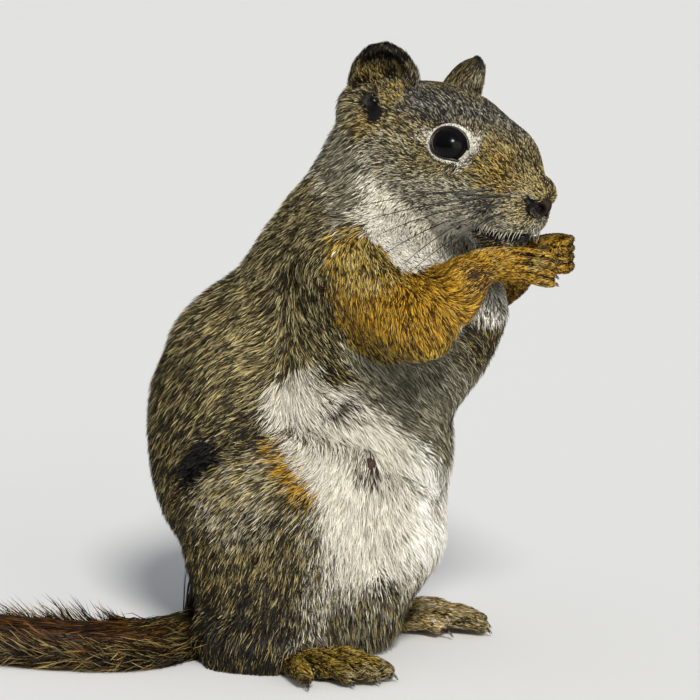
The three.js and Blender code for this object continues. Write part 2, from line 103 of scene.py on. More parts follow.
def unit(v):
    return v / np.maximum(norm(v)[..., None], 1e-9)


def flattened(vectors, normal):
    """What is left of the vectors at right angles to the normals."""
    return vectors - normal * np.einsum("ij,ij->i", vectors, normal)[:, None]


def fade(low, high, x):
    """0 at low and 1 at high, with a smooth rise between them; low may be the greater one."""
    t = np.clip((np.asarray(x, float) - low) / (high - low), 0, 1)
    return t * t * (3 - 2 * t)


def hill(gap, width):
    """1 where the gap is 0, falling off over this width."""
    return np.exp(-((gap / width) ** 2))


def ball(points, centre, radii, soft=0.25):
    """1 inside an ellipsoid and 0 outside, with an edge that is soft over this share of its size."""
    return fade(1 + soft, 1 - soft, norm((points - centre) / radii))


def mirrored(points):
    """The points with their Y made positive, for what is the same on both sides."""
    return points * [1, 0, 1] + np.abs(points * [0, 1, 0])


def circle(count):
    return np.linspace(0, 2 * math.pi, count, endpoint=False)


def on_parts(part, *names):
    """Where a part's number is that of one of the named parts."""
    return np.isin(part, [PART_NAMES.index(name) for name in names])


def middle(node):
    low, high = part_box(node)
    return np.array((low + high) / 2) / MM


def read(items, key, width, kind=np.float32):
    """One property of all items, as a table of this width."""
    values = np.empty(len(items) * width, kind)
    items.foreach_get(key, values)
    return values.reshape(-1, width)


def write(items, key, values, kind=np.float32):
    items.foreach_set(key, values.astype(kind).ravel())


def vertices_of(mesh):
    return read(mesh.vertices, "co", 3) / np.float32(MM)


def triangles_of(mesh):
    mesh.calc_loop_triangles()
    return read(mesh.loop_triangles, "vertices", 3, np.int32)


def linear(hex_colour):
    """A hex colour, as a linear RGB triple."""
    c = np.array([int(hex_colour[i : i + 2], 16) for i in (0, 2, 4)]) / 255
    return np.where(c <= 0.04045, c / 12.92, ((c + 0.055) / 1.055) ** 2.4)


def paint_points(mesh, name, colours):
    """A layer with a colour for each point of the mesh."""
    values = np.ones((len(mesh.vertices), 4), np.float32)
    values[:, :3] = colours
    write(mesh.color_attributes.new(name, "FLOAT_COLOR", "POINT").data, "color", values)


def new_object(name, data):
    obj = bpy.data.objects.new(name, data)
    bpy.context.scene.collection.objects.link(obj)
    return obj


def mesh_object(name, points, faces):
    """An object from points in millimetres and faces as lists of indices."""
    mesh = bpy.data.meshes.new(name)
    mesh.from_pydata([tuple(p) for p in np.asarray(points) * MM], [], faces)
    mesh.update()
    return new_object(name, mesh)


def only(obj):
    """Makes obj the one selected and active object."""
    for other in bpy.context.selected_objects:
        other.select_set(False)
    obj.select_set(True)
    bpy.context.view_layer.objects.active = obj


def finish_piece(obj, material, nodes=()):
    """Smooth shading, a material and the body it rides on; hides the CAD nodes that it stands for."""
    mesh = obj.data
    mesh.polygons.foreach_set("use_smooth", np.ones(len(mesh.polygons), bool))
    mesh.materials.clear()
    mesh.materials.append(material)
    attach(obj, "root")
    if nodes:
        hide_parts(*nodes)


def tree_of(points):
    tree = KDTree(len(points))
    for index, point in enumerate(points):
        tree.insert(point, index)
    tree.balance()
    return tree


def lump_noise(points, size, seed, waves=14):
    """Smooth noise between -1 and 1 with lumps of about this size, as a sum of waves in random directions."""
    draw = np.random.default_rng(seed)
    total = np.zeros(len(points))
    for _ in range(waves):
        way = unit(draw.normal(size=3))
        total += np.sin(points @ way * (draw.uniform(3.2, 7.5) / size) + draw.uniform(0, 6.283))
    return total / waves * 1.6


# ---- the head's frame
def head_frame():
    left, right, nose = middle("left_eye"), middle("right_eye"), middle("nose")
    across = unit(left - right)
    origin = (left + right) / 2
    to_nose = nose - origin
    to_nose = unit(to_nose - across * (to_nose @ across))
    ahead = np.array(Quaternion(Vector(across), -NOSE_SLOPE) @ Vector(to_nose))
    return origin, np.stack([ahead, across, np.cross(ahead, across)])


HEAD_ORIGIN, HEAD_AXES = head_frame()


def to_head(points):
    return (points - HEAD_ORIGIN) @ HEAD_AXES.T


def from_head(points):
    return np.asarray(points, float) @ HEAD_AXES + HEAD_ORIGIN


def head_way(direction, side=1):
    """A direction given in the head's frame for the left side, in the row frame for either side."""
    return unit(np.array([direction[0], direction[1] * side, direction[2]]) @ HEAD_AXES)


# ---- the tail's line
def catmull_rom(knots, count):
    """Points along a smooth curve through the knots, and the knot parameter of each."""
    knots = np.asarray(knots, float)
    ends = [2 * knots[0] - knots[1], *knots, 2 * knots[-1] - knots[-2]]
    t = np.linspace(0, len(knots) - 1, count)
    i = np.minimum(t.astype(int), len(knots) - 2)
    u = (t - i)[:, None]
    a, b, c, d = (np.array(ends)[i + k] for k in range(4))
    points = b + 0.5 * u * (c - a + u * (2 * a - 5 * b + 4 * c - d + u * (3 * (b - c) + d - a)))
    return points, t


tail_line, tail_knot = catmull_rom(TAIL_ROUTE, 160)
tail_tangent = unit(np.gradient(tail_line, axis=0))


def nearest(points, route):
    """Which of the route's points is nearest to each point."""
    return norm(points[:, None] - route[None]).argmin(axis=1)


# ---- flesh: the CAD nodes that one skin replaces
def part_of(node):
    if node.startswith("tail"):
        return "tail"
    bare = node.replace("right_", "").replace("left_", "")
    return bare if bare in PARTS else None


FLESH = [name for name in sorted(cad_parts) if part_of(name)]


def node_shell(name):
    """One node's points, pushed out a little, and triangles."""
    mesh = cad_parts[name].data
    co, tris = vertices_of(mesh), triangles_of(mesh)
    _, first, same = np.unique(np.round(co, 3), axis=0, return_index=True, return_inverse=True)
    co, tris = co[first], same.reshape(-1)[tris]
    cross = np.cross(co[tris[:, 1]] - co[tris[:, 0]], co[tris[:, 2]] - co[tris[:, 0]])
    normal = np.zeros_like(co)
    for k in range(3):
        np.add.at(normal, tris[:, k], cross)
    co = co + unit(normal) * SWELL
    if part_of(name) == "tail":
        at = nearest(co, tail_line)
        share = np.interp(tail_knot[at], range(len(TAIL_FLESH)), TAIL_FLESH)
        co = tail_line[at] + (co - tail_line[at]) * share[:, None]
    return co, tris


def flesh_shell():
    """All the flesh, with the eyeballs, so that the skin passes over them. Owners are part numbers."""
    points, faces, owner = [], [], []
    start = 0
    for name in FLESH + ["right_eye", "left_eye"]:
        co, tris = node_shell(name)
        points.append(co)
        faces.append(tris + start)
        owner.append(np.full(len(tris), PART_NAMES.index(part_of(name) or "head")))
        start += len(co)
    return np.concatenate(points), np.concatenate(faces), np.concatenate(owner)


class Skin:
    """The skin's points with what the coat needs to know at each of them."""

    def __init__(self):
        co, tris, owner = flesh_shell()
        self.obj = mesh_object("flesh", co, tris.tolist())
        tree = BVHTree.FromPolygons([Vector(p) for p in co], tris.tolist())
        only(self.obj)
        mesh = self.obj.data
        mesh.remesh_voxel_size = VOXEL * MM
        mesh.use_remesh_fix_poles = False
        bpy.ops.object.voxel_remesh()
        self.co = vertices_of(mesh)
        self.quads = read(mesh.loops, "vertex_index", 1, np.int32).reshape(-1, 4)
        self.part = np.array([owner[tree.find_nearest(Vector(p))[2]] for p in self.co])
        self.link()

    def link(self):
        """Each point's neighbours, as a table that is filled up with the point itself."""
        edges = np.concatenate([self.quads[:, [k, (k + 1) % 4]] for k in range(4)])
        edges = np.unique(np.sort(edges, axis=1), axis=0)
        both = np.concatenate([edges, edges[:, ::-1]])
        both = both[np.argsort(both[:, 0], kind="stable")]
        count = np.bincount(both[:, 0], minlength=len(self.co))
        start = np.concatenate([[0], np.cumsum(count)[:-1]])
        rank = np.arange(len(both)) - start[both[:, 0]]
        kept = rank < NEIGHBOURS
        self.near = np.repeat(np.arange(len(self.co))[:, None], NEIGHBOURS, axis=1)
        self.near[both[kept, 0], rank[kept]] = both[kept, 1]
        self.degree = np.minimum(count, NEIGHBOURS).astype(np.float32)

    def average(self, values):
        """The mean of each point's neighbours."""
        degree = self.degree[:, None] if values.ndim == 2 else self.degree
        return (values[self.near].sum(axis=1) - values * (NEIGHBOURS - degree)) / degree

    def spread(self, values, rounds):
        for _ in range(rounds):
            values = 0.4 * values + 0.6 * self.average(values)
        return values

    def per_part(self, key, rounds=60):
        table = np.array([row[COLUMNS.index(key)] for row in PARTS.values()], np.float32)
        return self.spread(table[self.part], rounds)

    def on(self, *names):
        return on_parts(self.part, *names)

    def move(self, ways):
        self.co += ways.astype(np.float32)

    def rise(self, amount):
        """Moves each point out from the body by its own amount."""
        self.move(self.normal * amount[:, None])

    def ease(self, share):
        """Moves each point this share of the way to the middle of its neighbours."""
        self.move(share * (self.average(self.co) - self.co))

    def smooth(self):
        """Rounds the CAD facets off without shrinking the form."""
        rounds = self.per_part("smooth", 40)
        for step in range(int(rounds.max())):
            weight = np.clip(rounds - step, 0, 1)[:, None]
            self.ease(SMOOTH_IN * weight)
            self.ease(SMOOTH_OUT * weight)

    def find_normals(self, rounds=3):
        a, b, c, d = (self.co[self.quads[:, k]] for k in range(4))
        cross = np.cross(c - a, d - b)
        normal = np.zeros_like(self.co)
        for k in range(4):
            np.add.at(normal, self.quads[:, k], cross)
        self.normal = unit(self.spread(unit(normal), rounds)).astype(np.float32)

    def inset(self):
        """Sinks the skin from the coat's tips by the coat's depth."""
        self.find_normals(12)
        sunk = self.co - self.normal * (self.per_part("depth") + SWELL)[:, None]
        self.co = self.spread(sunk, 2)


skin = Skin()
skin.smooth()
skin.inset()
skin.find_normals()

# ---- the body's softer forms, the same on both sides
# Where the skin stands out or sinks in: the middle, the half sizes and how far.
BODY_FORMS = [
    ((60, 0, 92), (7, 12, 9), 3.2),  # the chest between the arms
    ((50, 0, 78), (9, 14, 11), 3.2),  # the breast
    ((50, 0, 66), (6, 12, 8), 2.2),
    ((47, 0, 50), (9, 14, 8), 1.2),
    ((46, 0, 28), (10, 16, 9), 3.2),  # the belly below it
    ((43, 0, 13), (9, 14, 6), -2.0),
    ((29.3, 24.3, 67.8), (8, 7, 6), 0.9),  # the mounds under the teats
    ((39, 20.7, 51), (7, 7, 7), 1.3),
    ((37.8, 14.4, 22.5), (7, 8, 8), 1.2),
    ((-20, 0, 44), (8, 22, 17), 2.4),  # the back
    ((-22, 0, 72), (8, 20, 7), -1.4),
    ((-20, 0, 15.5), (8, 22, 10), -3.4),  # the hollow over the tail's root
    ((7, 0, 116), (10, 14, 15), 1.9),  # the nape
    ((17, 0, 133), (8, 14, 8), 1.5),
    ((17, 12, 134), (7, 8, 9), 1.6),
    ((3, 26, 6), (17, 9, 6), 3.6),  # the fold of hide that hangs about the heel
    ((12, 30, 46), (14, 6, 8), 1.5),  # the thigh before its fold
]
THIGH_FOLD = [(-12, 22, 43), (-4, 26.6, 50.3), (2.2, 27.9, 54.8), (10, 28.2, 58.2), (19, 26.5, 61)]
KNEE = [(17.5, 28.5, 58), (22.5, 28.2, 52), (25.5, 27.4, 47)]  # the orange mark before the knee
BELLY_FURROW = [(19, 26, 62), (31, 21.9, 59.3), (37.3, 18.2, 55.6), (42.8, 12.3, 50.4), (45.4, 0, 43)]


def near_line(points, knots):
    """Each point's distance from a line on the mirrored body, and its place along the line, from 0 to 1."""
    route, knot = catmull_rom(knots, 30)
    gap = norm(mirrored(points)[:, None] - route[None])
    at = gap.argmin(axis=1)
    return gap[np.arange(len(at)), at], knot[at] / (len(knots) - 1)


def shape_body():
    m = mirrored(skin.co)
    push = np.zeros(len(m))
    for centre, radii, amount in BODY_FORMS:
        push += amount * np.exp(-1.5 * (((m - centre) / radii) ** 2).sum(axis=1))
    gap, along = near_line(skin.co, THIGH_FOLD)
    push -= 3.6 * fade(0, 0.15, along) * (1 - 0.85 * along) * hill(gap, 1.8)
    push -= 1.3 * hill(near_line(skin.co, BELLY_FURROW)[0], 2.4)
    push[skin.on("tail", "hand", "forearm", "head", "ear")] = 0
    skin.rise(skin.spread(push, 3))
    skin.co[:, 2] = np.maximum(skin.co[:, 2], 0.4)
    skin.find_normals(2)


shape_body()

# ---- the face: lids, mouth and nostrils
EYE_CENTRE = np.array([0, 9.6, 0])
OPENING = math.radians(48)  # from the eye's look to the upper and lower lids
WIDER = math.radians(12)  # how much further the lids are to the front and back
CORNER_REACH = math.radians(19)  # how much further still the inner corner of the lids reaches
NOSTRIL = [  # balls along the comma of the left nostril: the middle and the radius
    ((24.0, 2.8, -12.6), 2.1),
    ((22.8, 3.4, -11.8), 1.4),
    ((21.6, 3.8, -10.5), 0.9),
    ((24.6, 2.2, -13.9), 1.2),
]
CORNER_ANGLE = math.radians(-27)  # where that corner is, from ahead, towards the top
MOUTH = {"from": (6.0, -18.9), "to": (21.0, -19.2), "depth": 1.5, "width": 0.75}  # (ahead, up) of its ends
# Where the face is fuller than the sunk skin: the middle and the half sizes of each swelling, on the left.
SWELLS = [
    ((20.6, 0, -10.2), (5.0, 4.2, 6.0)),  # the blunt end of the muzzle
    ((15.6, 3.3, -14.0), (6.8, 4.2, 5.4)),  # the pad that bears the whiskers
    ((9.5, 0, -15.8), (12.4, 4.7, 7.5)),  # the lower jaw
    ((3.5, 9.5, -13.5), (9.0, 4.5, 6.0)),  # the cheek
    ((-25.6, 13.6, 6.6), (6.0, 5.4, 6.0)),  # behind the ear
]


def eye_axes(side):
    """The eye's look, and the ways to the front and to the top across it, in the head's frame."""
    look = unit(np.array([LOOK[0], LOOK[1] * side, LOOK[2]]))
    front = unit(np.array([1, 0, 0]) - look * look[0])
    top = np.cross(look, front) * side * -1
    return look, front, top


def opening_at(angle):
    """How far from the look the lids' edge is, in the direction that makes this angle with the front."""
    off = (angle - CORNER_ANGLE + math.pi) % (2 * math.pi) - math.pi
    back = (angle - CORNER_ANGLE) % (2 * math.pi) - math.pi
    front_corner = CORNER_REACH * hill(off, 0.36)
    back_corner = 0.14 * CORNER_REACH * hill(back, 0.5)
    return OPENING + WIDER * np.cos(angle) ** 2 + front_corner + back_corner


def about_eye(head_points, side):
    """Distance from the eye's centre, angle from its look, and angle round the look, of each point."""
    look, front, top = eye_axes(side)
    out = head_points - EYE_CENTRE * [1, side, 1]
    distance = norm(out)
    away = np.arccos(np.clip(out @ look / np.maximum(distance, 1e-6), -1, 1))
    return distance, away, np.arctan2(out @ top, out @ front)


def hug_eyes():
    """Brings the skin about each eye down onto the eyeball, and sinks what is inside the lids' opening."""
    near = np.flatnonzero(norm(to_head(skin.co)) < 24)
    for side in SIDES.values():
        h = to_head(skin.co[near])
        distance, away, angle = about_eye(h, side)
        edge = opening_at(angle)
        covered = fade(-0.03, 0.05, away - edge)
        lid = EYE_RADIUS + LID_THICKNESS * (0.75 + 0.5 * hill(away - edge - 0.12, 0.1))
        inside = EYE_RADIUS - 0.9
        slope = fade(0.02, 0.55, away - edge)
        outside = np.maximum(lid + (distance - lid) * slope, lid)
        wanted = np.where(covered > 0.5, outside, np.minimum(distance, inside))
        hold = fade(9.5, 7.5, distance) * fade(2.3, 1.9, away)
        out = unit(h - EYE_CENTRE * [1, side, 1])
        h = h + out * ((wanted - distance) * hold)[:, None]
        skin.co[near] = from_head(h)


def shape_lids():
    """Hugs the eyeballs a few times over, and spreads the skin's points out evenly in between."""
    gap = np.minimum(*(about_eye(to_head(skin.co), side)[0] for side in SIDES.values()))
    near = 0.5 * fade(11.5, 9.5, gap)[:, None]
    for _ in range(5):
        hug_eyes()
        for _ in range(4):
            skin.ease(near)
    hug_eyes()


def mouth_distance(h):
    """Distance across the line of the mouth, which runs along each side of the muzzle."""
    start, end = np.array(MOUTH["from"]), np.array(MOUTH["to"])
    length = np.linalg.norm(end - start)
    way = (end - start) / length
    flat = h[:, [0, 2]] - start
    along = np.clip(flat @ way, 0, length)
    bow = 0.7 * np.sin(np.pi * along / length)
    return norm(flat - along[:, None] * way + np.stack([np.zeros_like(bow), bow], 1))


def shape_mouth():
    near = np.flatnonzero(skin.on("head"))
    h = to_head(skin.co[near])
    groove = MOUTH["depth"] * hill(mouth_distance(h), MOUTH["width"])
    skin.co[near] -= skin.normal[near] * groove[:, None]


def shape_swells():
    """Fills the face out to each swelling, then evens the edges of the fill."""
    near = np.flatnonzero(norm(to_head(skin.co)) < 40)
    h = to_head(skin.co[near])
    side = np.where(h[:, 1] < 0, -1.0, 1.0)
    m = h * np.stack([np.ones(len(h)), side, np.ones(len(h))], 1)
    for centre, radii in SWELLS:
        reach = norm((m - centre) / radii)[:, None]
        m = np.where(reach < 1, centre + (m - centre) / np.maximum(reach, 0.3), m)
        m[:, 1] = np.maximum(m[:, 1], 0)
    m[:, 1] *= side
    skin.co[near] = from_head(m)
    weight = fade(34, 26, norm(to_head(skin.co)))[:, None] * 0.6
    weight[skin.on("ear")] = 0
    for _ in range(9):
        skin.ease(weight)
    skin.find_normals(2)
    skin.rise(skin.spread(0.35 * fade(-4, 10, to_head(skin.co)[:, 0]) * skin.on("head"), 4))


def nostril_hole(h):
    """1 in the comma of a nostril and 0 away from it."""
    reach = [norm(mirrored(h) - centre) / radius for centre, radius in NOSTRIL]
    return hill(np.min(reach, axis=0), 1)


def shape_nostrils():
    near = np.flatnonzero(skin.on("head"))
    skin.co[near] -= skin.normal[near] * (2.0 * nostril_hole(to_head(skin.co[near])))[:, None]


shape_swells()
shape_lids()
shape_mouth()
shape_nostrils()
skin.find_normals(2)

# ---- the teats, bare among the belly's hair
TEATS = [(29.3, 24.3, 67.8), (39.0, 20.7, 53.0), (37.8, 14.4, 22.5)]
TEAT_RADIUS = 1.4
TEAT_HEIGHT = 2.3
AREOLAS = [(5.6, 5.0, 3.2), (3.6, 3.8, 4.6), (2.6, 2.8, 2.8)]  # the half sizes of the dark mark about each


def teat_distance(points):
    m = mirrored(points)
    return np.min([norm(m - t) for t in TEATS], axis=0)


def shape_teats():
    m = mirrored(skin.co)
    for teat in TEATS:
        centre = m[norm(m - teat).argmin()]
        skin.co += skin.normal * (TEAT_HEIGHT * hill(norm(m - centre), TEAT_RADIUS))[:, None]


shape_teats()
skin.find_normals(1)

# ---- the ears' own frames
EAR_AT = (-20, 13.9, 11.8)
EAR_SPLAY = math.radians(20)
EAR_TURN = math.radians(28)
EAR_WIDER = 0.08  # the share by which the skin is wider than the sunk CAD ear


def ear_axes(side):
    """The ear's own ahead, outward and up axes, in the head's frame, as rows."""
    turn = Matrix.Rotation(-side * EAR_TURN, 3, "Z") @ Matrix.Rotation(-side * EAR_SPLAY, 3, "X")
    return np.array(turn.transposed()) * [[1], [side], [1]]


def to_ear(points, side):
    return (to_head(points) - np.array(EAR_AT) * [1, side, 1]) @ ear_axes(side).T


EAR_CANAL = [(-2.6, 3.2, -1.6), (0.8, 8.8, -4.3), 2.0]  # its two ends and how far it opens
EAR_DENTS = [  # (ahead, out, up) of each hollow, its half sizes and its depth
    ((-1.6, 4.8, -2.4), (2.0, 5.0, 3.6), 4.0),  # the canal
    ((-0.5, 0.5, 7.5), (4.5, 3.0, 3.0), 0.7),  # the shell under the rim
]
EAR_RISES = [
    ((3.6, 2.5, 0.8), (2.2, 3.0, 3.4), 1.0),  # the bump before the canal
    ((-3.6, 0.5, 2.2), (2.2, 2.5, 2.4), 0.6),  # the hairy pad inside
]


def from_segment(points, a, b):
    """Each point's distance from the straight line between a and b."""
    along = np.clip((points - a) @ (b - a) / ((b - a) @ (b - a)), 0, 1)
    return norm(points - a - along[:, None] * (b - a))


def ear_canal(e):
    """1 in the canal's mouth, in an ear's own frame, and 0 away from it."""
    top, low, width = EAR_CANAL
    return fade(1.2, 0.8, from_segment(e, np.array(top), np.array(low)) / width)


def shape_ears():
    for side in SIDES.values():
        e = to_ear(skin.co, side)
        on = skin.on("ear") & (np.sign(to_head(skin.co)[:, 1]) == side)
        wider = EAR_WIDER * (e[:, 0] - 1.5) * fade(-6, 0, e[:, 2]) * on
        skin.move(wider[:, None] * from_ear_way([1, 0, 0], side))
        outward = from_ear_way([0, 1, 0], side)
        for forms, sign in ((EAR_DENTS, -1), (EAR_RISES, 1)):
            for centre, radii, depth in forms:
                amount = depth * np.exp(-2.0 * (((e - centre) / radii) ** 2).sum(axis=1))
                skin.move(sign * amount[:, None] * outward)
    skin.find_normals(1)


def from_ear_way(way, side):
    return np.array(way, float) @ ear_axes(side) @ HEAD_AXES


shape_ears()


# ---- fingers and toes: the lines between them
# Each hand's wrist, knuckles, finger bend and tips, and each foot's heel and turn, are those of the CAD.
HANDS = {
    "right": [(64, -14, 103.5), (75.5, -11.5, 104.4), (80, -11, 103.4), (81.3, -6.8, 102)],
    "left": [(68, 8, 103), (79, 6.5, 105.5), (82.6, 1.5, 105), (78.5, -3.6, 104.6)],
}
FINGER_SPREAD = 2.1
HEELS = {"right": (-2, -17, math.radians(-20.6)), "left": (1, 14, math.radians(25))}
# How far each toe and the foot's edges lie across the foot, at the toes' base and at their tips.
TOE_LINES = [(-4.9, -11), (-3.8, -8.4), (-1.3, -2.8), (1.4, 3), (5.2, 11.5)]
TOE_SPAN = (26, 46)  # ahead of the heel
CLEFT = 0.75  # depth
TOE_REACH = 2.2  # how far the toes' fur stands before the CAD toes


def finger_gap(points, side_name):
    """How far each point is from the nearest line between two fingers, and how far along the hand it is."""
    route, knot = catmull_rom(HANDS[side_name], 40)
    at = nearest(points, route)
    rise = points[:, 2] - route[at, 2]
    gap = np.min([np.abs(rise - step * FINGER_SPREAD) for step in (-1, 0, 1)], axis=0)
    return gap, knot[at]


def toe_gap(points, side_name):
    """How far each point is from the nearest line between two toes, and how far ahead of the heel it is."""
    x, y, turn = HEELS[side_name]
    side = SIDES[side_name]
    ahead = (points[:, 0] - x) * math.cos(turn) + (points[:, 1] - y) * math.sin(turn)
    across = side * ((points[:, 1] - y) * math.cos(turn) - (points[:, 0] - x) * math.sin(turn))
    share = (ahead - TOE_SPAN[0]) / (TOE_SPAN[1] - TOE_SPAN[0])
    lines = [a + (b - a) * share for a, b in TOE_LINES]
    gap = np.min([np.abs(across - (u + v) / 2) for u, v in zip(lines, lines[1:])], axis=0)
    return gap, ahead


def clefts(points, part):
    """1 in the lines between fingers and between toes, fading to 0 beside them."""
    deep = np.zeros(len(points))
    for side_name in SIDES:
        hand, far = middle(f"{side_name}_hand"), middle(f"{OTHER[side_name]}_hand")
        near = norm(points - hand) < norm(points - far)
        on = np.flatnonzero(on_parts(part, "hand") & near)
        gap, along = finger_gap(points[on], side_name)
        deep[on] = hill(gap, 0.4) * fade(0.55, 0.95, along)
        on = np.flatnonzero(on_parts(part, "foot") & (np.sign(points[:, 1]) == SIDES[side_name]))
        gap, ahead = toe_gap(points[on], side_name)
        deep[on] = hill(gap, 0.55) * fade(TOE_SPAN[0], TOE_SPAN[0] + 4, ahead)
    return deep


def stretch_toes():
    for side_name in SIDES:
        on = skin.on("foot") & (np.sign(skin.co[:, 1]) == SIDES[side_name])
        turn = HEELS[side_name][2]
        reach = TOE_REACH * fade(36, 45, toe_gap(skin.co, side_name)[1]) * on
        skin.move(reach[:, None] * [math.cos(turn), math.sin(turn), 0])


stretch_toes()
skin.rise(-CLEFT * clefts(skin.co, skin.part))
skin.find_normals(1)


# ---- markings: kinds of hair and where each grows
# For each kind: the hair's foot, middle, pale tip and dark tip, the share of pale tips, and the skin below.
# Some kinds are also laid as painted shade or painted light; the marks below say where.
KINDS = {
    "olive": ("0d0903", "806d36", "ffeeb2", "140f05", 0.37, "151008"),
    "shade": ("070401", "52411c", "cdb973", "0d0903", 0.29, "0d0904"),
    "grey": ("090705", "5c5344", "f2ebd6", "0b0906", 0.29, "120f0b"),
    "nape": ("17130c", "a09272", "fbf6e2", "1a160e", 0.52, "241f16"),
    "orange": ("221501", "c88a10", "ffd452", "342004", 0.6, "251704"),
    "buff": ("281f10", "bfa558", "fdebae", "2a210f", 0.6, "2f2614"),
    "white": ("89826f", "dcd6c5", "f4f0e3", "a19984", 0.85, "837c6a"),
    "breast": ("3a3526", "908a70", "d2ccb2", "48422e", 0.48, "38331f"),
    "cheek": ("28241a", "b8ae8e", "fdf7e2", "252114", 0.58, "332d20"),
    "throat": ("a59e88", "e2dcc8", "faf6e8", "aea690", 0.85, "9d967f"),
    "ring": ("cfc9b7", "f2eee1", "fffdf6", "c9c2af", 0.92, "cac4b1"),
    "dark": ("040201", "0c0804", "2a1e13", "050301", 0.20, "060402"),
    "areola": ("1c120c", "3f3026", "a39482", "1a110b", 0.12, "3a241b"),
    "tail": ("0c0601", "4a2b03", "845310", "120902", 0.44, "140b03"),
    "fringe": ("1a1003", "130c04", "dcc078", "0c0702", 0.44, "181006"),
    "ochre": ("1f1602", "ba8d1e", "ffde6c", "211603", 0.58, "261c07"),
    "toe": ("181208", "a08740", "efe0ac", "120d06", 0.50, "241c0f"),
}
KIND_NAMES = list(KINDS)

# The pale belly's edge, as the angle from straight ahead round the trunk, at some heights.
BELLY_EDGE_HEIGHTS = [0, 9, 14, 29, 45, 57, 66, 73, 79]
BELLY_EDGE_ANGLES = [66, 64, 60, 56, 58, 71, 83, 84, 70]
# The upper edge is also where the painted shade under the arms begins.
BELLY_TOP_HEIGHTS = [50, 60, 69, 77, 79.5]  # of its upper edge, at some angles
BELLY_TOP_ANGLES = [0, 20, 40, 56, 75]
TRUNK_MIDDLE = 12  # ahead of the origin
BREAST_EDGE = 50  # the angle of the breast's edge, above the belly


# Ball-shaped marks: the kind, its share, the middle, the half sizes, the softness of the edge, and the parts.
BODY = ("trunk", "haunch", "neck")
BREAST_SPOTS = [
    ("white", 0.7, (61.5, 2, 98.5), (5, 10, 3.6), 0.4, ["neck", "trunk"]),
    # painted shadow of the arms and hands on the breast
    ("shade", 0.95, (60.5, 4, 86), (9, 10, 7.5), 0.4, BODY),
    # grey-beige hair on the chest's side below the arm, partly painted shade
    ("breast", 0.5, (50, 13, 75), (8, 8, 6), 0.5, ["trunk"]),
]
FLANK_SPOTS = [
    # painted light: the top of the haunch, which faces the light, is laid paler
    ("nape", 0.65, (8, 31, 47), (15, 10, 11), 0.5, ["haunch", "trunk"]),
    ("buff", 0.4, (8, 30, 50), (13, 9, 8), 0.5, ["haunch", "trunk"]),
    ("buff", 0.35, (4, 20, 82), (12, 12, 16), 0.5, ["trunk"]),
    # painted shade under the arm
    ("shade", 0.85, (29, 24.5, 76.2), (7.5, 6, 4.2), 0.25, BODY),
]
FACE_SPOTS = [
    ("cheek", 0.5, (-14, 17, -4), (7, 6, 6), 0.5, ["head", "neck"]),
    ("olive", 0.9, (10, 7.5, -2.5), (7.5, 6, 8), 0.45, ["head"]),
    ("ochre", 0.45, (12, 7.5, -4.5), (6.5, 5, 6.5), 0.45, ["head"]),
    ("orange", 0.2, (16, 5.5, -9), (6, 4, 5), 0.5, ["head"]),
    ("buff", 1, (21.5, 0, -6.5), (7.5, 5, 5), 0.35, ["head"]),
    ("buff", 0.8, (21, 4.5, -14), (5, 3.5, 4), 0.35, ["head"]),
    ("shade", 0.6, (21, 0, -4.5), (9, 2.0, 5), 0.4, ["head"]),
]
EAR_PAD_SPOTS = [
    ("shade", 0.9, (-2.6, -1, 3.6), (3.6, 4, 4.2), 0.3, ["ear"]),
    ("ochre", 0.4, (-2.6, -1, 3.6), (3.6, 4, 4.2), 0.3, ["ear"]),
]
EAR_EDGE_SPOTS = [("dark", 0.8, (1.8, 1, 1.6), (1.5, 4, 4), 0.4, ["ear", "head"])]
EAR_ROOT_SPOTS = [
    ("olive", 0.9, (-1, 5, -3), (8, 9, 8), 0.4, ["head", "ear", "neck"]),
    ("ochre", 0.35, (3.4, 3, 0), (3.4, 4, 4.2), 0.3, ["head", "ear"]),
    ("ochre", 0.35, (0.5, 8, -7), (4.5, 4, 3), 0.4, ["head", "neck"]),
    # painted shade in the hollow at the ear's root
    ("dark", 0.6, (-3.4, 1, -0.6), (2.4, 3, 2.0), 0.4, ["ear", "neck"]),
]


def trunk_angle(points):
    return np.degrees(np.arctan2(np.abs(points[:, 1]), points[:, 0] - TRUNK_MIDDLE))


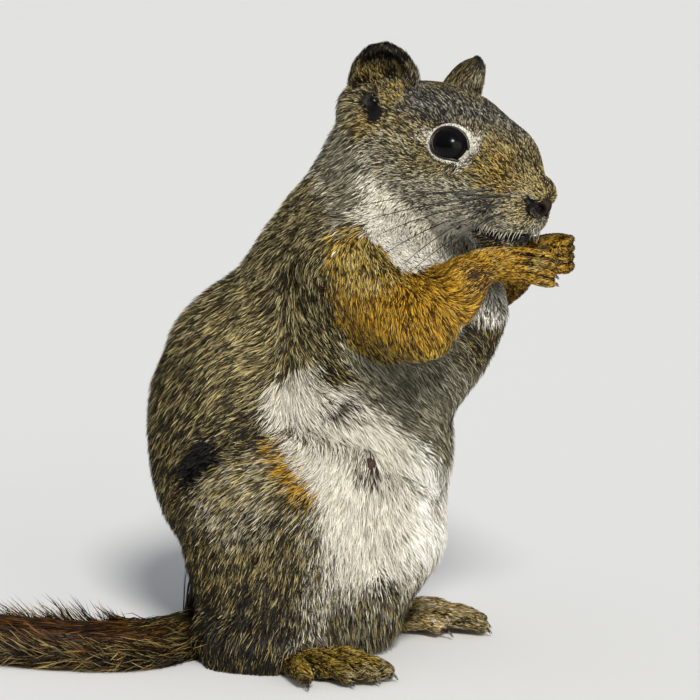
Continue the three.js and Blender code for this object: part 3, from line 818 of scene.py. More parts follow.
class Marks:
    """The share of each kind of hair at each point, painted one mark over another."""

    def __init__(self, points, part):
        self.p = mirrored(points)
        self.h = to_head(points)
        self.m = mirrored(self.h)
        self.part = part
        self.side = np.sign(points[:, 1])
        self.rough = lump_noise(points, 4, 3)
        self.share = np.zeros((len(points), len(KINDS)))
        self.share[:, KIND_NAMES.index("olive")] = 1
        self.cleft = clefts(points, part)
        self.paint_trunk()
        self.paint_arms()
        self.paint_head()
        self.paint_ears()
        self.paint_feet()
        self.paint_tail()

    def lay(self, kind, amount, *parts):
        """Lays a kind over the marks so far, on some parts or on all."""
        amount = np.clip(np.asarray(amount, float) * np.ones(len(self.p)), 0, 1)
        if parts:
            amount = amount * on_parts(self.part, *parts)
        self.share *= 1 - amount[:, None]
        self.share[:, KIND_NAMES.index(kind)] += amount

    def lay_spots(self, spots, points, where=1):
        """Lays ball-shaped marks from a table, one over another."""
        for kind, amount, centre, radii, soft, parts in spots:
            self.lay(kind, amount * where * ball(points, centre, radii, soft), *parts)

    def paint_trunk(self):
        lay, p, rough = self.lay, self.p, self.rough
        angle = trunk_angle(p) + 3 * rough
        height = p[:, 2] + 1.2 * rough
        # Painted shade: the hair is laid darker towards the back, on the side away from the light, and low
        # down on the trunk and haunch.
        lay("shade", 0.75 * fade(95, 140, angle), *BODY)
        lay("shade", 0.9 * fade(52, 18, height), *BODY)
        lay("dark", 0.5 * fade(34, 6, height), *BODY)
        lay("nape", 0.85 * fade(101, 123, height), "neck", "trunk")
        edge = np.interp(p[:, 2], BELLY_EDGE_HEIGHTS, BELLY_EDGE_ANGLES)
        top = np.interp(angle, BELLY_TOP_ANGLES, BELLY_TOP_HEIGHTS)
        soft = np.interp(p[:, 2], [12, 40, 56], [13, 9, 4])
        belly = fade(1, -1, (angle - edge) / soft)
        lay("nape", fade(18, 2, angle - edge) * fade(62, 40, height) * 0.5, *BODY)
        lay("white", belly, *BODY)
        # Painted light: the front of the belly, which faces the light, is laid in the whitest hair.
        painted_light = fade(30, 14, angle) * fade(24, 32, height) * fade(64, 56, height)
        lay("ring", painted_light, *BODY)
        # Above the belly's upper edge the breast is grey-beige: partly its own hair and partly painted shade
        # under the arms.
        above = fade(-5, 4, height - top)
        lay("breast", above * fade(6, -4, angle - BREAST_EDGE), *BODY)
        lay("olive", above * fade(-6, 4, angle - BREAST_EDGE), *BODY)
        self.lay_spots(BREAST_SPOTS, p)
        # Painted shade: the belly is laid darker low down, under its own overhang, and along its furrow.
        lay("breast", 0.95 * fade(31, 15, height) * belly, *BODY)
        lay("shade", 0.65 * fade(29, 13, height) * belly, *BODY)
        lay("breast", 0.4 * fade(3, 1, near_line(p, BELLY_FURROW)[0]) * belly, *BODY)
        self.lay_spots(FLANK_SPOTS, p)
        lay("orange", 0.7 * fade(4.6, 1.8, near_line(p, KNEE)[0] + 0.8 * rough), "haunch", "trunk")
        lay("shade", 0.8 * ball(p, (21.0, 29, 41), (3.0, 4, 2.6), 0.5), "haunch", "trunk")
        # Painted shade in the thigh's fold and on the hair just above it.
        gap, along = near_line(p, THIGH_FOLD)
        above = near_line(p - [1.6, 0, 2.2], THIGH_FOLD)[0]
        lay("shade", 0.85 * fade(7, 3, above) * fade(1.1, 0.8, along), "haunch", "trunk")
        core = fade(0.0, 0.12, along) * fade(0.6, 0.35, along)
        lay("dark", core * fade(5.0, 3.2, above), "haunch", "trunk")
        lay("dark", core * fade(2.4, 1.3, gap), "haunch", "trunk")
        for teat, half in zip(TEATS, AREOLAS):
            lay("areola", 0.95 * ball(p, np.array(teat), half, 0.3), "trunk", "haunch")

    def paint_arms(self):
        lay, p, rough = self.lay, self.p, self.rough
        shoulder = fade(28, 38, p[:, 0] + 1.5 * rough) * fade(80, 88, p[:, 2] + rough)
        lay("orange", shoulder, "upper_arm")
        lay("orange", 1, "forearm", "hand")
        lay("ochre", ball(p, (41.5, 27, 105.8), (9, 9, 8), 0.5), "upper_arm", "neck")
        lay("buff", 0.55 * ball(p, (41.5, 27, 105.8), (8, 9, 7), 0.5), "upper_arm", "neck")
        shoulder = 0.9 * fade(31, 37, p[:, 0] + 1.5 * rough) * fade(20, 24, p[:, 1])
        lay("orange", shoulder * fade(113, 109, p[:, 2] + rough), "neck")
        # Painted shade on the underside of the upper arm.
        lay("shade", 0.45 * fade(92, 85, p[:, 2] + rough), "upper_arm")
        lay("ochre", 0.6 * fade(88, 84, p[:, 2] + rough) * fade(18, 26, p[:, 0]), "upper_arm")
        lay("cheek", 0.2 * fade(82, 78, p[:, 2] + rough), "upper_arm")
        # Painted shadow under the wrist, in the tail's dark brown hair.
        lay("tail", 0.75 * ball(p, (66.6, 20, 100.4), (5.5, 4, 4.0), 0.5), "forearm", "hand")
        # the pale wedge between the shoulder and the cheek, and the throat
        wedge = (p - [37.5, 25.5, 114.5]) @ [0.658, -0.433, 0.616] + rough
        ahead = fade(-19, -14, self.h[:, 0] + 0.6 * rough)
        clear = fade(-0.8, 1.2, wedge) * ahead
        lay("cheek", clear, "neck")
        drop = (self.h[:, 0] + 14) * 0.61 + (self.h[:, 2] + 17) * 0.79 + 0.5 * rough
        lay("throat", 0.75 * clear * fade(8, 5, drop), "neck", "head")
        pale = clear * fade(1.4, -0.8, drop) * fade(-15.5, -11.5, self.h[:, 0] + 0.6 * rough)
        lay("ring", pale, "neck", "head")
        lay("ring", fade(-0.6, 0.8, np.minimum(wedge, p[:, 2] - 103.2)), "upper_arm")
        # Painted shade at the middle of the throat, under the jaw.
        lay("breast", 0.5 * fade(12, 5, p[:, 1]) * fade(-0.8, 1.4, wedge), "neck")
        lay("buff", 0.4 * fade(-0.2, 0.6, rough), "hand")
        # Painted shade in the clefts between the fingers.
        lay("dark", 0.9 * self.cleft, "hand")

    def paint_head(self):
        lay, m, rough = self.lay, self.m, self.rough
        lay("grey", fade(2.5, 7.5, m[:, 2] + 0.8 * rough), "head")
        lay("shade", 0.65 * ball(m, (-8, 0, 13), (14, 10, 6), 0.5), "head")
        lay("nape", 0.7 * fade(-12, -20, m[:, 0] + rough), "head")
        lay("cheek", 0.85 * fade(-5, -10, m[:, 2] + rough), "head")
        self.lay_spots(FACE_SPOTS, m)
        # Paler hair under the jaw: partly its own pale colour and partly painted light where the jaw lies in
        # shade.
        lay("cheek", 0.7 * fade(-14, -17, m[:, 2] + 0.4 * rough), "head")
        lay("throat", 0.8 * fade(-15, -18, m[:, 2] + 0.4 * rough) * fade(9, 4, m[:, 0]), "head")
        lay("orange", 0.55 * ball(m, (-14, 13, 2), (6, 5, 6), 0.5), "head", "neck")
        distance, away, angle = about_eye(self.m, 1)
        beyond_lid = (away - opening_at(angle)) * EYE_RADIUS
        reach = 0.5 + 1.15 * hill(angle - 0.8, 0.75)
        ring = fade(reach + 0.4, reach - 0.3, beyond_lid + 0.15 * rough)
        lay("ring", 0.85 * ring * fade(9.5, 8.5, distance), "head")
        # Painted shade on the chin, under the mouth.
        lay("shade", 0.7 * fade(-19.3, -20.3, self.h[:, 2]) * fade(5, 9, self.h[:, 0]), "head")
        # Painted shade in the mouth's groove and in the nostrils.
        lay("dark", fade(1.4, 0.4, mouth_distance(self.h)), "head")
        lay("dark", fade(0.12, 0.4, nostril_hole(self.h)), "head")

    def paint_ears(self):
        lay, rough = self.lay, self.rough
        for side in SIDES.values():
            e = to_ear(from_head(self.h), side)
            on = np.sign(self.h[:, 1]) == side
            inside = on * fade(-2.6, -0.6, e[:, 1])
            lay("shade", 0.9 * on, "ear")
            self.lay_spots(EAR_PAD_SPOTS, e, inside)
            self.lay_spots(EAR_EDGE_SPOTS, e, on)
            lay("shade", inside * fade(3.2, 5.0, e[:, 2] + 0.5 * rough), "ear")
            lay("dark", 0.8 * inside * fade(5.6, 7.0, e[:, 2] + 0.5 * rough), "ear")
            lay("nape", 0.3 * on * fade(4.6, 6.4, e[:, 0]) * fade(11, 5, e[:, 2]), "ear")
            self.lay_spots(EAR_ROOT_SPOTS, e, on)
            # Painted shade in the ear's canal.
            lay("dark", on * ear_canal(e), "ear", "head", "neck")

    def paint_feet(self):
        lay, p, rough = self.lay, self.p, self.rough
        lay("ochre", 1, "foot")
        lay("buff", 0.35 * fade(-0.2, 0.7, rough), "foot")
        left = self.side == SIDES["left"]
        # Painted light: the far (left) foot is laid paler, as it stands in the light.
        lay("buff", 0.7 * left, "foot")
        lay("orange", 0.3 * left, "foot")
        lay("throat", 0.2 * left, "foot")
        reach = norm(p[:, :2] - [0, 15.5])
        # Painted shade low on the near (right) foot, in the shade of the haunch.
        lay("shade", 0.5 * ~left * fade(7, 3, p[:, 2]), "foot")
        lay("toe", 0.8 * fade(40, 45, reach + rough), "foot")
        lay("dark", 0.8 * fade(1.6, 0.8, p[:, 2]), "foot")
        # Painted shade in the clefts between the toes.
        lay("dark", 0.9 * self.cleft, "foot")

    def paint_tail(self):
        lay = self.lay
        on = np.flatnonzero(on_parts(self.part, "tail"))
        at = nearest(from_head(self.h[on]), tail_line)
        out = from_head(self.h[on]) - tail_line[at]
        low = fade(0.7, -0.9, out[:, 2])
        amount = np.zeros(len(self.p))
        lay("tail", 1, "tail")
        amount[on] = 0.85 * low
        lay("fringe", amount, "tail")
        root = np.zeros(len(self.p))
        root[on] = fade(1.1, 0.3, tail_knot[at])
        lay("shade", 0.8 * root, "tail")


# ---- the lie of the coat
NOSE_TIP = np.array([25.5, 0, -11])
NOSE_PAD = {"at": np.array([22.6, 0, -11.6]), "half": np.array([3.0, 2.8, 2.6])}
PARTING = 33  # the angle round the trunk where the belly's hair parts


def flow_on_trunk(points):
    m = mirrored(points)
    angle = trunk_angle(points)
    out = np.radians(angle)
    outward = np.stack([-np.sin(out), np.cos(out) * np.sign(points[:, 1]), np.zeros(len(out))], 1)
    front = fade(90, 60, angle)[:, None]
    lean = np.clip((angle - PARTING) / 14, -1, 1)
    lean = np.where(m[:, 2] > 50, lean * fade(66, 54, m[:, 2]) - fade(54, 66, m[:, 2]), lean)
    lean = lean * np.where(lean < 0, fade(0, 14, angle), 1)
    flank = (fade(130, 95, angle) * fade(110, 92, m[:, 2]))[:, None]
    down = np.array([-0.42, 0, -0.9]) * (1 - flank) + np.array([-0.78, 0, -0.62]) * flank
    band = fade(52, 64, m[:, 2])[:, None]
    under = np.array([0, 0, -1.0]) + (0.6 + 0.7 * band) * lean[:, None] * outward
    return down * (1 - front) + front * under


def flow_of_skin():
    """The way the hair lies at each point of the skin, evened out from part to part."""
    co = skin.co
    h = to_head(co)
    flow = flow_on_trunk(co)

    def put(name, value, chosen=True):
        on = skin.on(name) & chosen
        flow[on] = np.broadcast_to(value, co.shape)[on]

    top = fade(32, 50, co[:, 2])[:, None]
    put("haunch", np.array([-0.26, 0, -1]) * (1 - top) + np.array([-0.8, 0, -0.55]) * top)
    put("neck", (-0.62, 0, -0.78))
    put("head", unit(h - NOSE_TIP) @ HEAD_AXES)
    on_tail = skin.on("tail")
    at = nearest(co[on_tail], tail_line)
    out = co[on_tail] - tail_line[at]
    sideways = out * [1, 1, 0.15]
    flow[on_tail] = tail_tangent[at] + 0.28 * unit(sideways) * fade(0.3, 1.5, tail_knot[at])[:, None]
    for name, side in SIDES.items():
        here = np.sign(co[:, 1]) == side
        wrist, elbow = middle(f"{name}_hand"), middle(f"{name}_forearm")
        shoulder, foot = middle(f"{name}_upper_arm"), middle(f"{name}_foot")
        tips, toes = middle(f"{name}_finger_claw_2"), middle(f"{name}_toe_claw_3")
        other_wrist = middle(f"{OTHER[name]}_hand")
        mine = np.abs(co[:, 1] - wrist[1]) < np.abs(co[:, 1] - other_wrist[1])
        put("upper_arm", 0.3 * unit(elbow - shoulder) + [0, 0, -0.9], here)
        put("forearm", unit(wrist - elbow), mine)
        put("hand", unit(tips - elbow), mine)
        heel = foot * [1, 1, 0] - 30 * unit(toes - foot)
        put("foot", unit(co - heel), here)
        ear = from_head(np.array(EAR_AT) * [1, side, 1])
        up = ear_axes(side)[2] @ HEAD_AXES
        put("ear", up + 0.1 * (co - ear), np.sign(h[:, 1]) == side)
    flow = unit(flow)
    for _ in range(5):
        flow = unit(flattened(skin.spread(flow, 8), skin.normal))
    return about_features(flow, h)


def about_features(flow, h):
    """Turns the hair away from the eyes and the teats."""
    for side in SIDES.values():
        distance, away, angle = about_eye(h, side)
        gap = (away - opening_at(angle)) * EYE_RADIUS
        look = eye_axes(side)[0]
        out = h - EYE_CENTRE * [1, side, 1]
        out = unit(out - look * (out @ look)[:, None]) @ HEAD_AXES
        pull = 1.6 * fade(4.5, 0.5, gap) * fade(11, 8, distance)
        flow = unit(flow + out * pull[:, None])
    m = mirrored(skin.co)
    for teat in TEATS:
        out = (m - teat) * np.stack([np.ones(len(m)), np.sign(skin.co[:, 1]), np.ones(len(m))], 1)
        pull = 1.5 * fade(6, 1, norm(m - teat))
        flow = unit(flow + unit(out) * pull[:, None])
    return unit(flattened(flow, skin.normal))


skin.flow = flow_of_skin()


# ---- how long the hair is, and where none grows
def hair_sizes():
    """The hair's length, width, count, hang and kinds, the coat's depth and the pull of its locks."""
    marks = Marks(skin.co, skin.part)
    m_skin = mirrored(skin.co)
    share = dict(zip(KIND_NAMES, marks.share.T))
    rounds = {"length": 30, "width": 30, "lock": 30, "count": 20, "depth": 60}
    length, width, lock, count, depth = (skin.per_part(key, n).astype(float) for key, n in rounds.items())
    head = skin.on("head")
    pale = share["white"] * ~head
    length *= 1 + 0.4 * pale
    width *= 1 - 0.2 * pale
    count *= 1 + 0.2 * pale
    lock += 0.3 * pale
    throat = (share["throat"] + share["ring"] + share["white"]) * fade(88, 95, skin.co[:, 2])
    length *= 1 - 0.5 * throat
    lock *= 1 - 0.8 * throat
    depth *= 1 - 0.5 * throat
    h = to_head(skin.co)
    muzzle = fade(-2, 20, h[:, 0]) * head
    depth *= 1 - 0.5 * ball(h, (-12, 0, 14), (11, 11, 7), 0.4) * head
    length *= 1 - 0.5 * muzzle
    width *= 1 - 0.15 * muzzle
    depth *= 1 - 0.55 * muzzle
    for side in SIDES.values():
        distance, away, angle = about_eye(h, side)
        gap = (away - opening_at(angle)) * EYE_RADIUS
        close = fade(5, 0.3, gap) * fade(11, 8, distance)
        length *= 1 - 0.5 * close
        depth *= 1 - 0.75 * close
        width *= 1 - 0.2 * close
        count *= 1 + 0.3 * close
        count *= np.where(distance < 9, fade(0.0, 0.3, gap), 1)
    count = count * fade(0.25, 0.6, mouth_distance(h)) ** head
    nose = norm((h - NOSE_PAD["at"]) / NOSE_PAD["half"])
    count = count * fade(0.98, 1.08, nose) * fade(0.4, 0.15, nostril_hole(h))
    bare = teat_distance(skin.co)
    for teat, half in zip(TEATS, AREOLAS):
        count *= 1 - 0.92 * ball(m_skin, np.array(teat), np.array(half) * 0.9, 0.3)
    length *= 1 - 0.6 * fade(6, 3, bare)
    depth *= 1 - 0.5 * fade(6, 2, bare)
    for side in SIDES.values():
        own = np.sign(h[:, 1]) == side
        rim = fade(0.75, 0.35, np.abs(skin.normal @ from_ear_way([0, 1, 0], side)))
        depth += 0.7 * rim * own * skin.on("ear")
        canal = ear_canal(to_ear(skin.co, side)) * own
        count *= 1 - canal
        length *= 1 - 0.5 * ball(to_ear(skin.co, side), (0, 5, -3), (6, 8, 7), 0.3)
    count *= fade(-0.2, 0.5, skin.co[:, 2])
    hollow = ball(skin.co, (-19, 0, 20), (9, 24, 13), 0.4) * ~skin.on("tail")
    length *= 1 - 0.6 * hollow
    depth *= 1 - 0.4 * hollow
    gap, along = near_line(skin.co, THIGH_FOLD)
    close = fade(5.5, 1.5, gap) * (1 - along)
    length *= 1 - 0.55 * close
    # fewer hairs in the fold, so that its skin, painted as shade, shows
    count *= 1 - fade(1.3, 0.6, gap) * fade(0.5, 0.35, along)
    low = fade(16, 7, skin.co[:, 2]) * skin.on("trunk", "haunch")
    length *= 1 + 0.8 * low
    toes = fade(36, 44, norm(m_skin[:, :2] - [0, 15.5]))
    length += 0.9 * toes * skin.on("foot")
    hang = fade(26, 12, skin.co[:, 2]) * fade(0.15, -0.35, skin.normal[:, 2])
    hang = hang * fade(125, 105, trunk_angle(skin.co))
    hang = skin.spread(hang * skin.on("trunk", "haunch"), 6)
    on_tail = skin.on("tail")
    at = nearest(skin.co[on_tail], tail_line)
    out = unit(skin.co[on_tail] - tail_line[at])
    level = 1 - np.abs(out[:, 2])
    upright = np.where(out[:, 2] > 0, 0.8, 5.4) * np.abs(out[:, 2])
    upright *= np.where(out[:, 2] < 0, 1 + 0.8 * fade(3.0, 1.2, tail_knot[at]), 1)
    aside = np.where(out[:, 2] > 0, 4 * level**4, 8.5 * level**2)
    depth[on_tail] = (upright + aside) * fade(-0.2, 1.2, tail_knot[at]) + 0.8
    length -= 6 * share["tail"] * on_tail
    return {"length": length, "width": width, "depth": depth, "lock": lock, "count": count,
            "hang": hang, "share": marks.share}


skin.hair = hair_sizes()


# ---- the coat
COAT_SCALE = 1.13  # times the counts in PARTS
MOST_HAIRS = 60000  # in one piece, three triangles each
PATCH = 0.003  # a hair's patch on the unwrap of its piece of skin
LOCK_HAIRS = 3
LOCK_CHOICE = 10  # how many of the nearest locks a hair may join
LOCK_SLIMNESS = 6  # how much closer a lock's hairs are beside each other than behind each other
LOCK_LIKENESS = 0.75  # the share of hairs that are light or dark with their lock
ROLL = 0.75  # how far a hair may turn about its own line, in radians


def unwrap(co, quads):
    """The unwrap of a piece of skin: four places on the map for each square."""
    used, local = np.unique(quads, return_inverse=True)
    obj = mesh_object("unwrap", co[used], local.reshape(-1, 4).tolist())
    mesh = obj.data
    only(obj)
    bpy.ops.object.mode_set(mode="EDIT")
    bpy.ops.mesh.select_all(action="SELECT")
    bpy.ops.uv.smart_project(angle_limit=math.radians(66), island_margin=0.002)
    bpy.ops.object.mode_set(mode="OBJECT")
    places = read(mesh.uv_layers.active.uv, "vector", 2).reshape(-1, 4, 2)
    bpy.data.objects.remove(obj)
    bpy.data.meshes.remove(mesh)
    return places


def sow(quads):
    """Hair roots strewn over the squares, as the square and the weights of its four corners."""
    a, b, c, d = (skin.co[quads[:, k]] for k in range(4))
    area = 0.5 * norm(np.cross(c - a, d - b))
    want = area * skin.hair["count"][quads].mean(axis=1) * COAT_SCALE
    total = int(min(want.sum(), MOST_HAIRS))
    place = np.cumsum(want) / want.sum()
    square = np.searchsorted(place, (np.arange(total) + rng.random(total)) / total)
    square = np.minimum(square, len(quads) - 1)
    u, v = rng.random(total), rng.random(total)
    weights = np.stack([(1 - u) * (1 - v), u * (1 - v), u * v, (1 - u) * v], 1)
    return square, weights


def blend(values, weights):
    """The values at the four corners of each square, weighed by where its root stands in it."""
    weights = weights if values.ndim == 2 else weights[..., None]
    return (values * weights).sum(axis=1)


skin_tree = tree_of(skin.co)


def over_skin(points, height):
    """Each point moved to this height above the skin nearest to it."""
    near = np.array([skin_tree.find(p)[1] for p in points])
    normal = skin.normal[near]
    rise = np.einsum("ij,ij->i", points - skin.co[near], normal)
    return points + normal * (height - rise)[:, None], normal


def gather(tips, roots, way, pull):
    """Draws the tips of neighbouring hairs together sideways, into long narrow locks, and tells the locks."""
    heads = rng.choice(len(roots), len(roots) // LOCK_HAIRS, replace=False)
    tree = tree_of(roots[heads])
    near = heads[np.array([[found[1] for found in tree.find_n(p, LOCK_CHOICE)] for p in roots])]
    gap = roots[:, None] - roots[near]
    along = np.einsum("ijk,ik->ij", gap, way)
    across = norm(gap - along[..., None] * way[:, None])
    choice = (across * LOCK_SLIMNESS + np.abs(along)).argmin(axis=1)
    mine = near[np.arange(len(roots)), choice]
    drawn = flattened(tips[mine] - tips, way)
    pull = pull * fade(1.5, 0.7, norm(drawn))
    return tips + drawn * pull[:, None], mine


def hair_colours(share, roots, mine):
    """The colours of each hair's foot, middle and tip, drawn from the kinds that grow at its root."""
    table = [[linear(c) for c in kind[:4]] for kind in KINDS.values()]
    foot, body, pale, dark = (np.array([row[k] for row in table]) for k in range(4))
    light_share = np.array([kind[4] for kind in KINDS.values()])
    count = len(roots)
    drawn = rng.random(count)[:, None] * share.sum(axis=1)[:, None]
    pick = (np.cumsum(share, axis=1) > drawn).argmax(axis=1)
    alike = rng.random(count) < LOCK_LIKENESS
    chance = np.where(alike, rng.random(count)[mine], rng.random(count))
    light = chance < light_share[pick] + 0.1 * lump_noise(roots, 3, 5)
    tip = np.where(light[:, None], pale[pick], dark[pick])
    mid = np.where(light[:, None], 0.8 * body[pick] + 0.2 * pale[pick], 0.2 * body[pick] + 0.8 * dark[pick])
    dark_kind = fade(0.2, 0.02, foot.mean(axis=1))[pick]
    swing = 0.12 + 0.26 * dark_kind
    tone = (1 + swing * rng.uniform(-0.7, 0.7, count)[mine]) * (1 + swing * rng.uniform(-1, 1, count))
    tone = tone * (1 - 0.22 * dark_kind) * (1 + 0.12 * lump_noise(roots, 9, 8))
    return [np.clip(c * tone[:, None], 0, 1) for c in (foot[pick], mid, tip)]


def make_coat(name, chosen):
    """One piece of the coat, over the squares of skin that are chosen."""
    quads = skin.quads[chosen]
    square, weights = sow(quads)
    corners = quads[square]
    root = blend(skin.co[corners], weights)
    normal = unit(blend(skin.normal[corners], weights))
    flow = unit(blend(skin.flow[corners], weights))
    hair = {key: blend(values[corners], weights) for key, values in skin.hair.items()}
    map_place = blend(unwrap(skin.co, quads)[square], weights)
    count = len(root)

    across = np.cross(normal, flow)
    sway = 0.22 * lump_noise(root, 7, 21) + 0.13 * rng.normal(size=count)
    way = unit(flow + across * sway[:, None])
    length = hair["length"] * rng.uniform(0.72, 1.2, count)
    rise = hair["depth"] * rng.uniform(0.45, 1.08, count)
    reach = np.sqrt(np.maximum(length**2 - rise**2, (0.5 * length) ** 2))
    tip, mine = gather(root + way * reach[:, None], root, flow, hair["lock"])
    tip, tip_normal = over_skin(tip, rise)
    hanging = root + (unit(normal * [1, 1, 0] * 0.35 + [0, 0, -1.0]) * length[:, None])
    tip = tip + (hanging - tip) * hair["hang"][:, None]
    foot = root - normal * (0.12 * length)[:, None].clip(0, 0.3)
    bend = across * (0.05 * length * rng.normal(size=count))[:, None]
    knee = 0.42 * root + 0.58 * (tip - tip_normal * rise[:, None])
    knee = knee + unit(normal + tip_normal) * (0.78 * rise)[:, None] + bend

    turn = rng.uniform(-ROLL, ROLL, count)[:, None]
    line = unit(tip - foot)
    flat = unit(np.cross(line, normal))
    edge = flat * np.cos(turn) + np.cross(line, flat) * np.sin(turn)
    half = (hair["width"] * rng.uniform(0.75, 1.25, count) / 2)[:, None]
    points = np.stack([foot - edge * half, foot + edge * half, knee - edge * half * 0.95,
                       knee + edge * half * 0.95, tip], axis=1)
    points[..., 2] = np.maximum(points[..., 2], FLOOR_CLEAR)
    colours = hair_colours(hair["share"], root, mine)
    finish_piece(blades_object(name, points, colours, map_place), coat_material())


def blades_object(name, points, colours, map_place):
    """A mesh of flat tapering hairs: a square and a triangle each."""
    count = len(points)
    mesh = bpy.data.meshes.new(name)
    mesh.vertices.add(count * 5)
    write(mesh.vertices, "co", points * MM)
    rows = np.arange(count)[:, None]
    pattern = np.array([0, 1, 3, 2, 2, 3, 4])
    mesh.loops.add(count * 7)
    write(mesh.loops, "vertex_index", rows * 5 + pattern, np.int32)
    mesh.polygons.add(count * 2)
    write(mesh.polygons, "loop_start", rows * 7 + [0, 4], np.int32)
    mesh.update(calc_edges=True)
    foot, mid, tip = colours
    paint_points(mesh, "coat", np.stack([foot, foot, mid, mid, tip], axis=1).reshape(-1, 3))
    spots = np.array([[-1, -1], [1, -1], [-1, 0.2], [1, 0.2], [0, 1]]) * PATCH / 2
    places = (map_place[:, None, :] + spots)[:, pattern]
    write(mesh.uv_layers.new(name="OFBake").uv, "vector", places)
    return new_object(name, mesh)


# ---- materials
def new_material(name, **values):
    """A principled material with these values set on its shader, and its node tree."""
    material = bpy.data.materials.new(name)
    material.use_nodes = True
    shader = material.node_tree.nodes["Principled BSDF"]
    for key, value in values.items():
        shader.inputs[key.replace("_", " ")].default_value = value
    return material, material.node_tree, shader


def add_node(tree, kind, **settings):
    node = tree.nodes.new(kind)
    for key, value in settings.items():
        if key in node.inputs:
            node.inputs[key].default_value = value
        else:
            setattr(node, key, value)
    return node


def add_ramp(tree, low, high):
    """A ramp from one colour to another."""
    ramp = add_node(tree, "ShaderNodeValToRGB")
    ramp.color_ramp.elements[0].color = (*low, 1)
    ramp.color_ramp.elements[1].color = (*high, 1)
    return ramp


def noise_tone(tree, scale, low, high):
    """Noise in object space, mapped to a range of tones."""
    place = add_node(tree, "ShaderNodeTexCoord")
    noise = add_node(tree, "ShaderNodeTexNoise", Scale=scale, Detail=4)
    spread = add_node(tree, "ShaderNodeMapRange")
    spread.inputs["From Min"].default_value, spread.inputs["From Max"].default_value = 0.3, 0.7
    spread.inputs["To Min"].default_value, spread.inputs["To Max"].default_value = low, high
    tree.links.new(place.outputs["Object"], noise.inputs["Vector"])
    tree.links.new(noise.outputs["Fac"], spread.inputs["Value"])
    return noise, spread


def tint(tree, colour, tone):
    """A colour socket times a tone socket."""
    mix = tree.nodes.new("ShaderNodeVectorMath")
    mix.operation = "SCALE"
    tree.links.new(colour, mix.inputs[0])
    tree.links.new(tone, mix.inputs["Scale"])
    return mix.outputs[0]


def add_bump(tree, shader, height, strength, distance):
    bump = add_node(tree, "ShaderNodeBump", Strength=strength, Distance=distance)
    tree.links.new(height, bump.inputs["Height"])
    tree.links.new(bump.outputs["Normal"], shader.inputs["Normal"])


def tinted_material(name, source, noise, bump=(), **values):
    """A material with noise over its colours, which are a colour layer's or, from a # and hex, one colour."""
    material, tree, shader = new_material(name, **values)
    if source.startswith("#"):
        colour = add_node(tree, "ShaderNodeRGB")
        colour.outputs["Color"].default_value = (*linear(source[1:]), 1)
    else:
        colour = add_node(tree, "ShaderNodeVertexColor", layer_name=source)
    speckle, tone = noise_tone(tree, *noise)
    tree.links.new(tint(tree, colour.outputs["Color"], tone.outputs["Result"]), shader.inputs["Base Color"])
    if bump:
        add_bump(tree, shader, speckle.outputs["Fac"], *bump)
    return material


def coat_material():
    material = bpy.data.materials.get("hair")
    dry = {"Roughness": 0.55, "Specular_IOR_Level": 0.28}
    return material or tinted_material("hair", "coat", (420, 0.86, 1.14), **dry)


# ---- the skin piece
def finish_skin():
    obj = skin.obj
    write(obj.data.vertices, "co", skin.co * MM)
    obj.data.update()
    obj.name = obj.data.name = "skin"
    only(obj)
    thin = obj.modifiers.new("thin", "DECIMATE")
    thin.ratio = SKIN_TRIANGLES / (2 * len(skin.quads))
    bpy.ops.object.modifier_apply(modifier="thin")
    co = vertices_of(obj.data)
    part = skin.part[[skin_tree.find(p)[1] for p in co]]
    share = Marks(co, part).share
    below = np.array([linear(kind[5]) for kind in KINDS.values()])
    paint_points(obj.data, "hide", share @ below)
    dull = {"Roughness": 0.6, "Specular_IOR_Level": 0.35}
    hide = tinted_material("hide", "hide", (900, 0.7, 1.3), (0.6, 0.0003), **dull)
    finish_piece(obj, hide, FLESH)


square_part = skin.part[skin.quads[:, 0]]
square_side = np.sign(skin.co[skin.quads].mean(axis=1)[:, 1])
head_side = np.sign(to_head(skin.co)[:, 1])[skin.quads[:, 0]]
COATS = {
    "coat_trunk": (["trunk"], "olive_coat"),
    "coat_haunch": (["haunch"], "olive_coat"),
    "coat_neck": (["neck"], "olive_coat"),
    "coat_arm": (["upper_arm", "forearm", "hand"], "russet_coat"),
    "coat_head": (["head"], "olive_coat"),
    "coat_ear": (["ear"], "olive_coat"),
    "coat_foot": (["foot"], "russet_coat"),
}
for coat, (parts, slot) in COATS.items():
    on_part = on_parts(square_part, *parts)
    for side_name, side in SIDES.items():
        own_side = head_side if coat in ("coat_head", "coat_ear") else square_side
        make_coat(f"{coat}_{side_name}", on_part & (own_side == side))
make_coat("coat_tail", on_parts(square_part, "tail"))
finish_skin()

# ---- eyes and eyelids
PUPIL = math.radians(30)
IRIS_EDGE = math.radians(62)
LID_RADIUS = 0.36
# Painted reflection: a pale sliver of light on the wet eye at the back of the opening.
EYE_GLINT = "8d8478"  # the pale sliver at the back of the opening
LID_STEPS = 120
LID_SIDES = 10


def grid_faces(rows, columns):
    """Squares between neighbouring points of a closed tube or ring of rows, each row closed too."""
    faces = []
    for row in range(rows):
        here, ahead = row * columns, (row + 1) % rows * columns
        for c in range(columns):
            beside = (c + 1) % columns
            faces.append((here + c, ahead + c, ahead + beside, here + beside))
    return faces


def open_grid(rows, columns):
    """The same for a tube that is open at its ends."""
    return [face for face in grid_faces(rows, columns) if face[0] // columns < rows - 1]


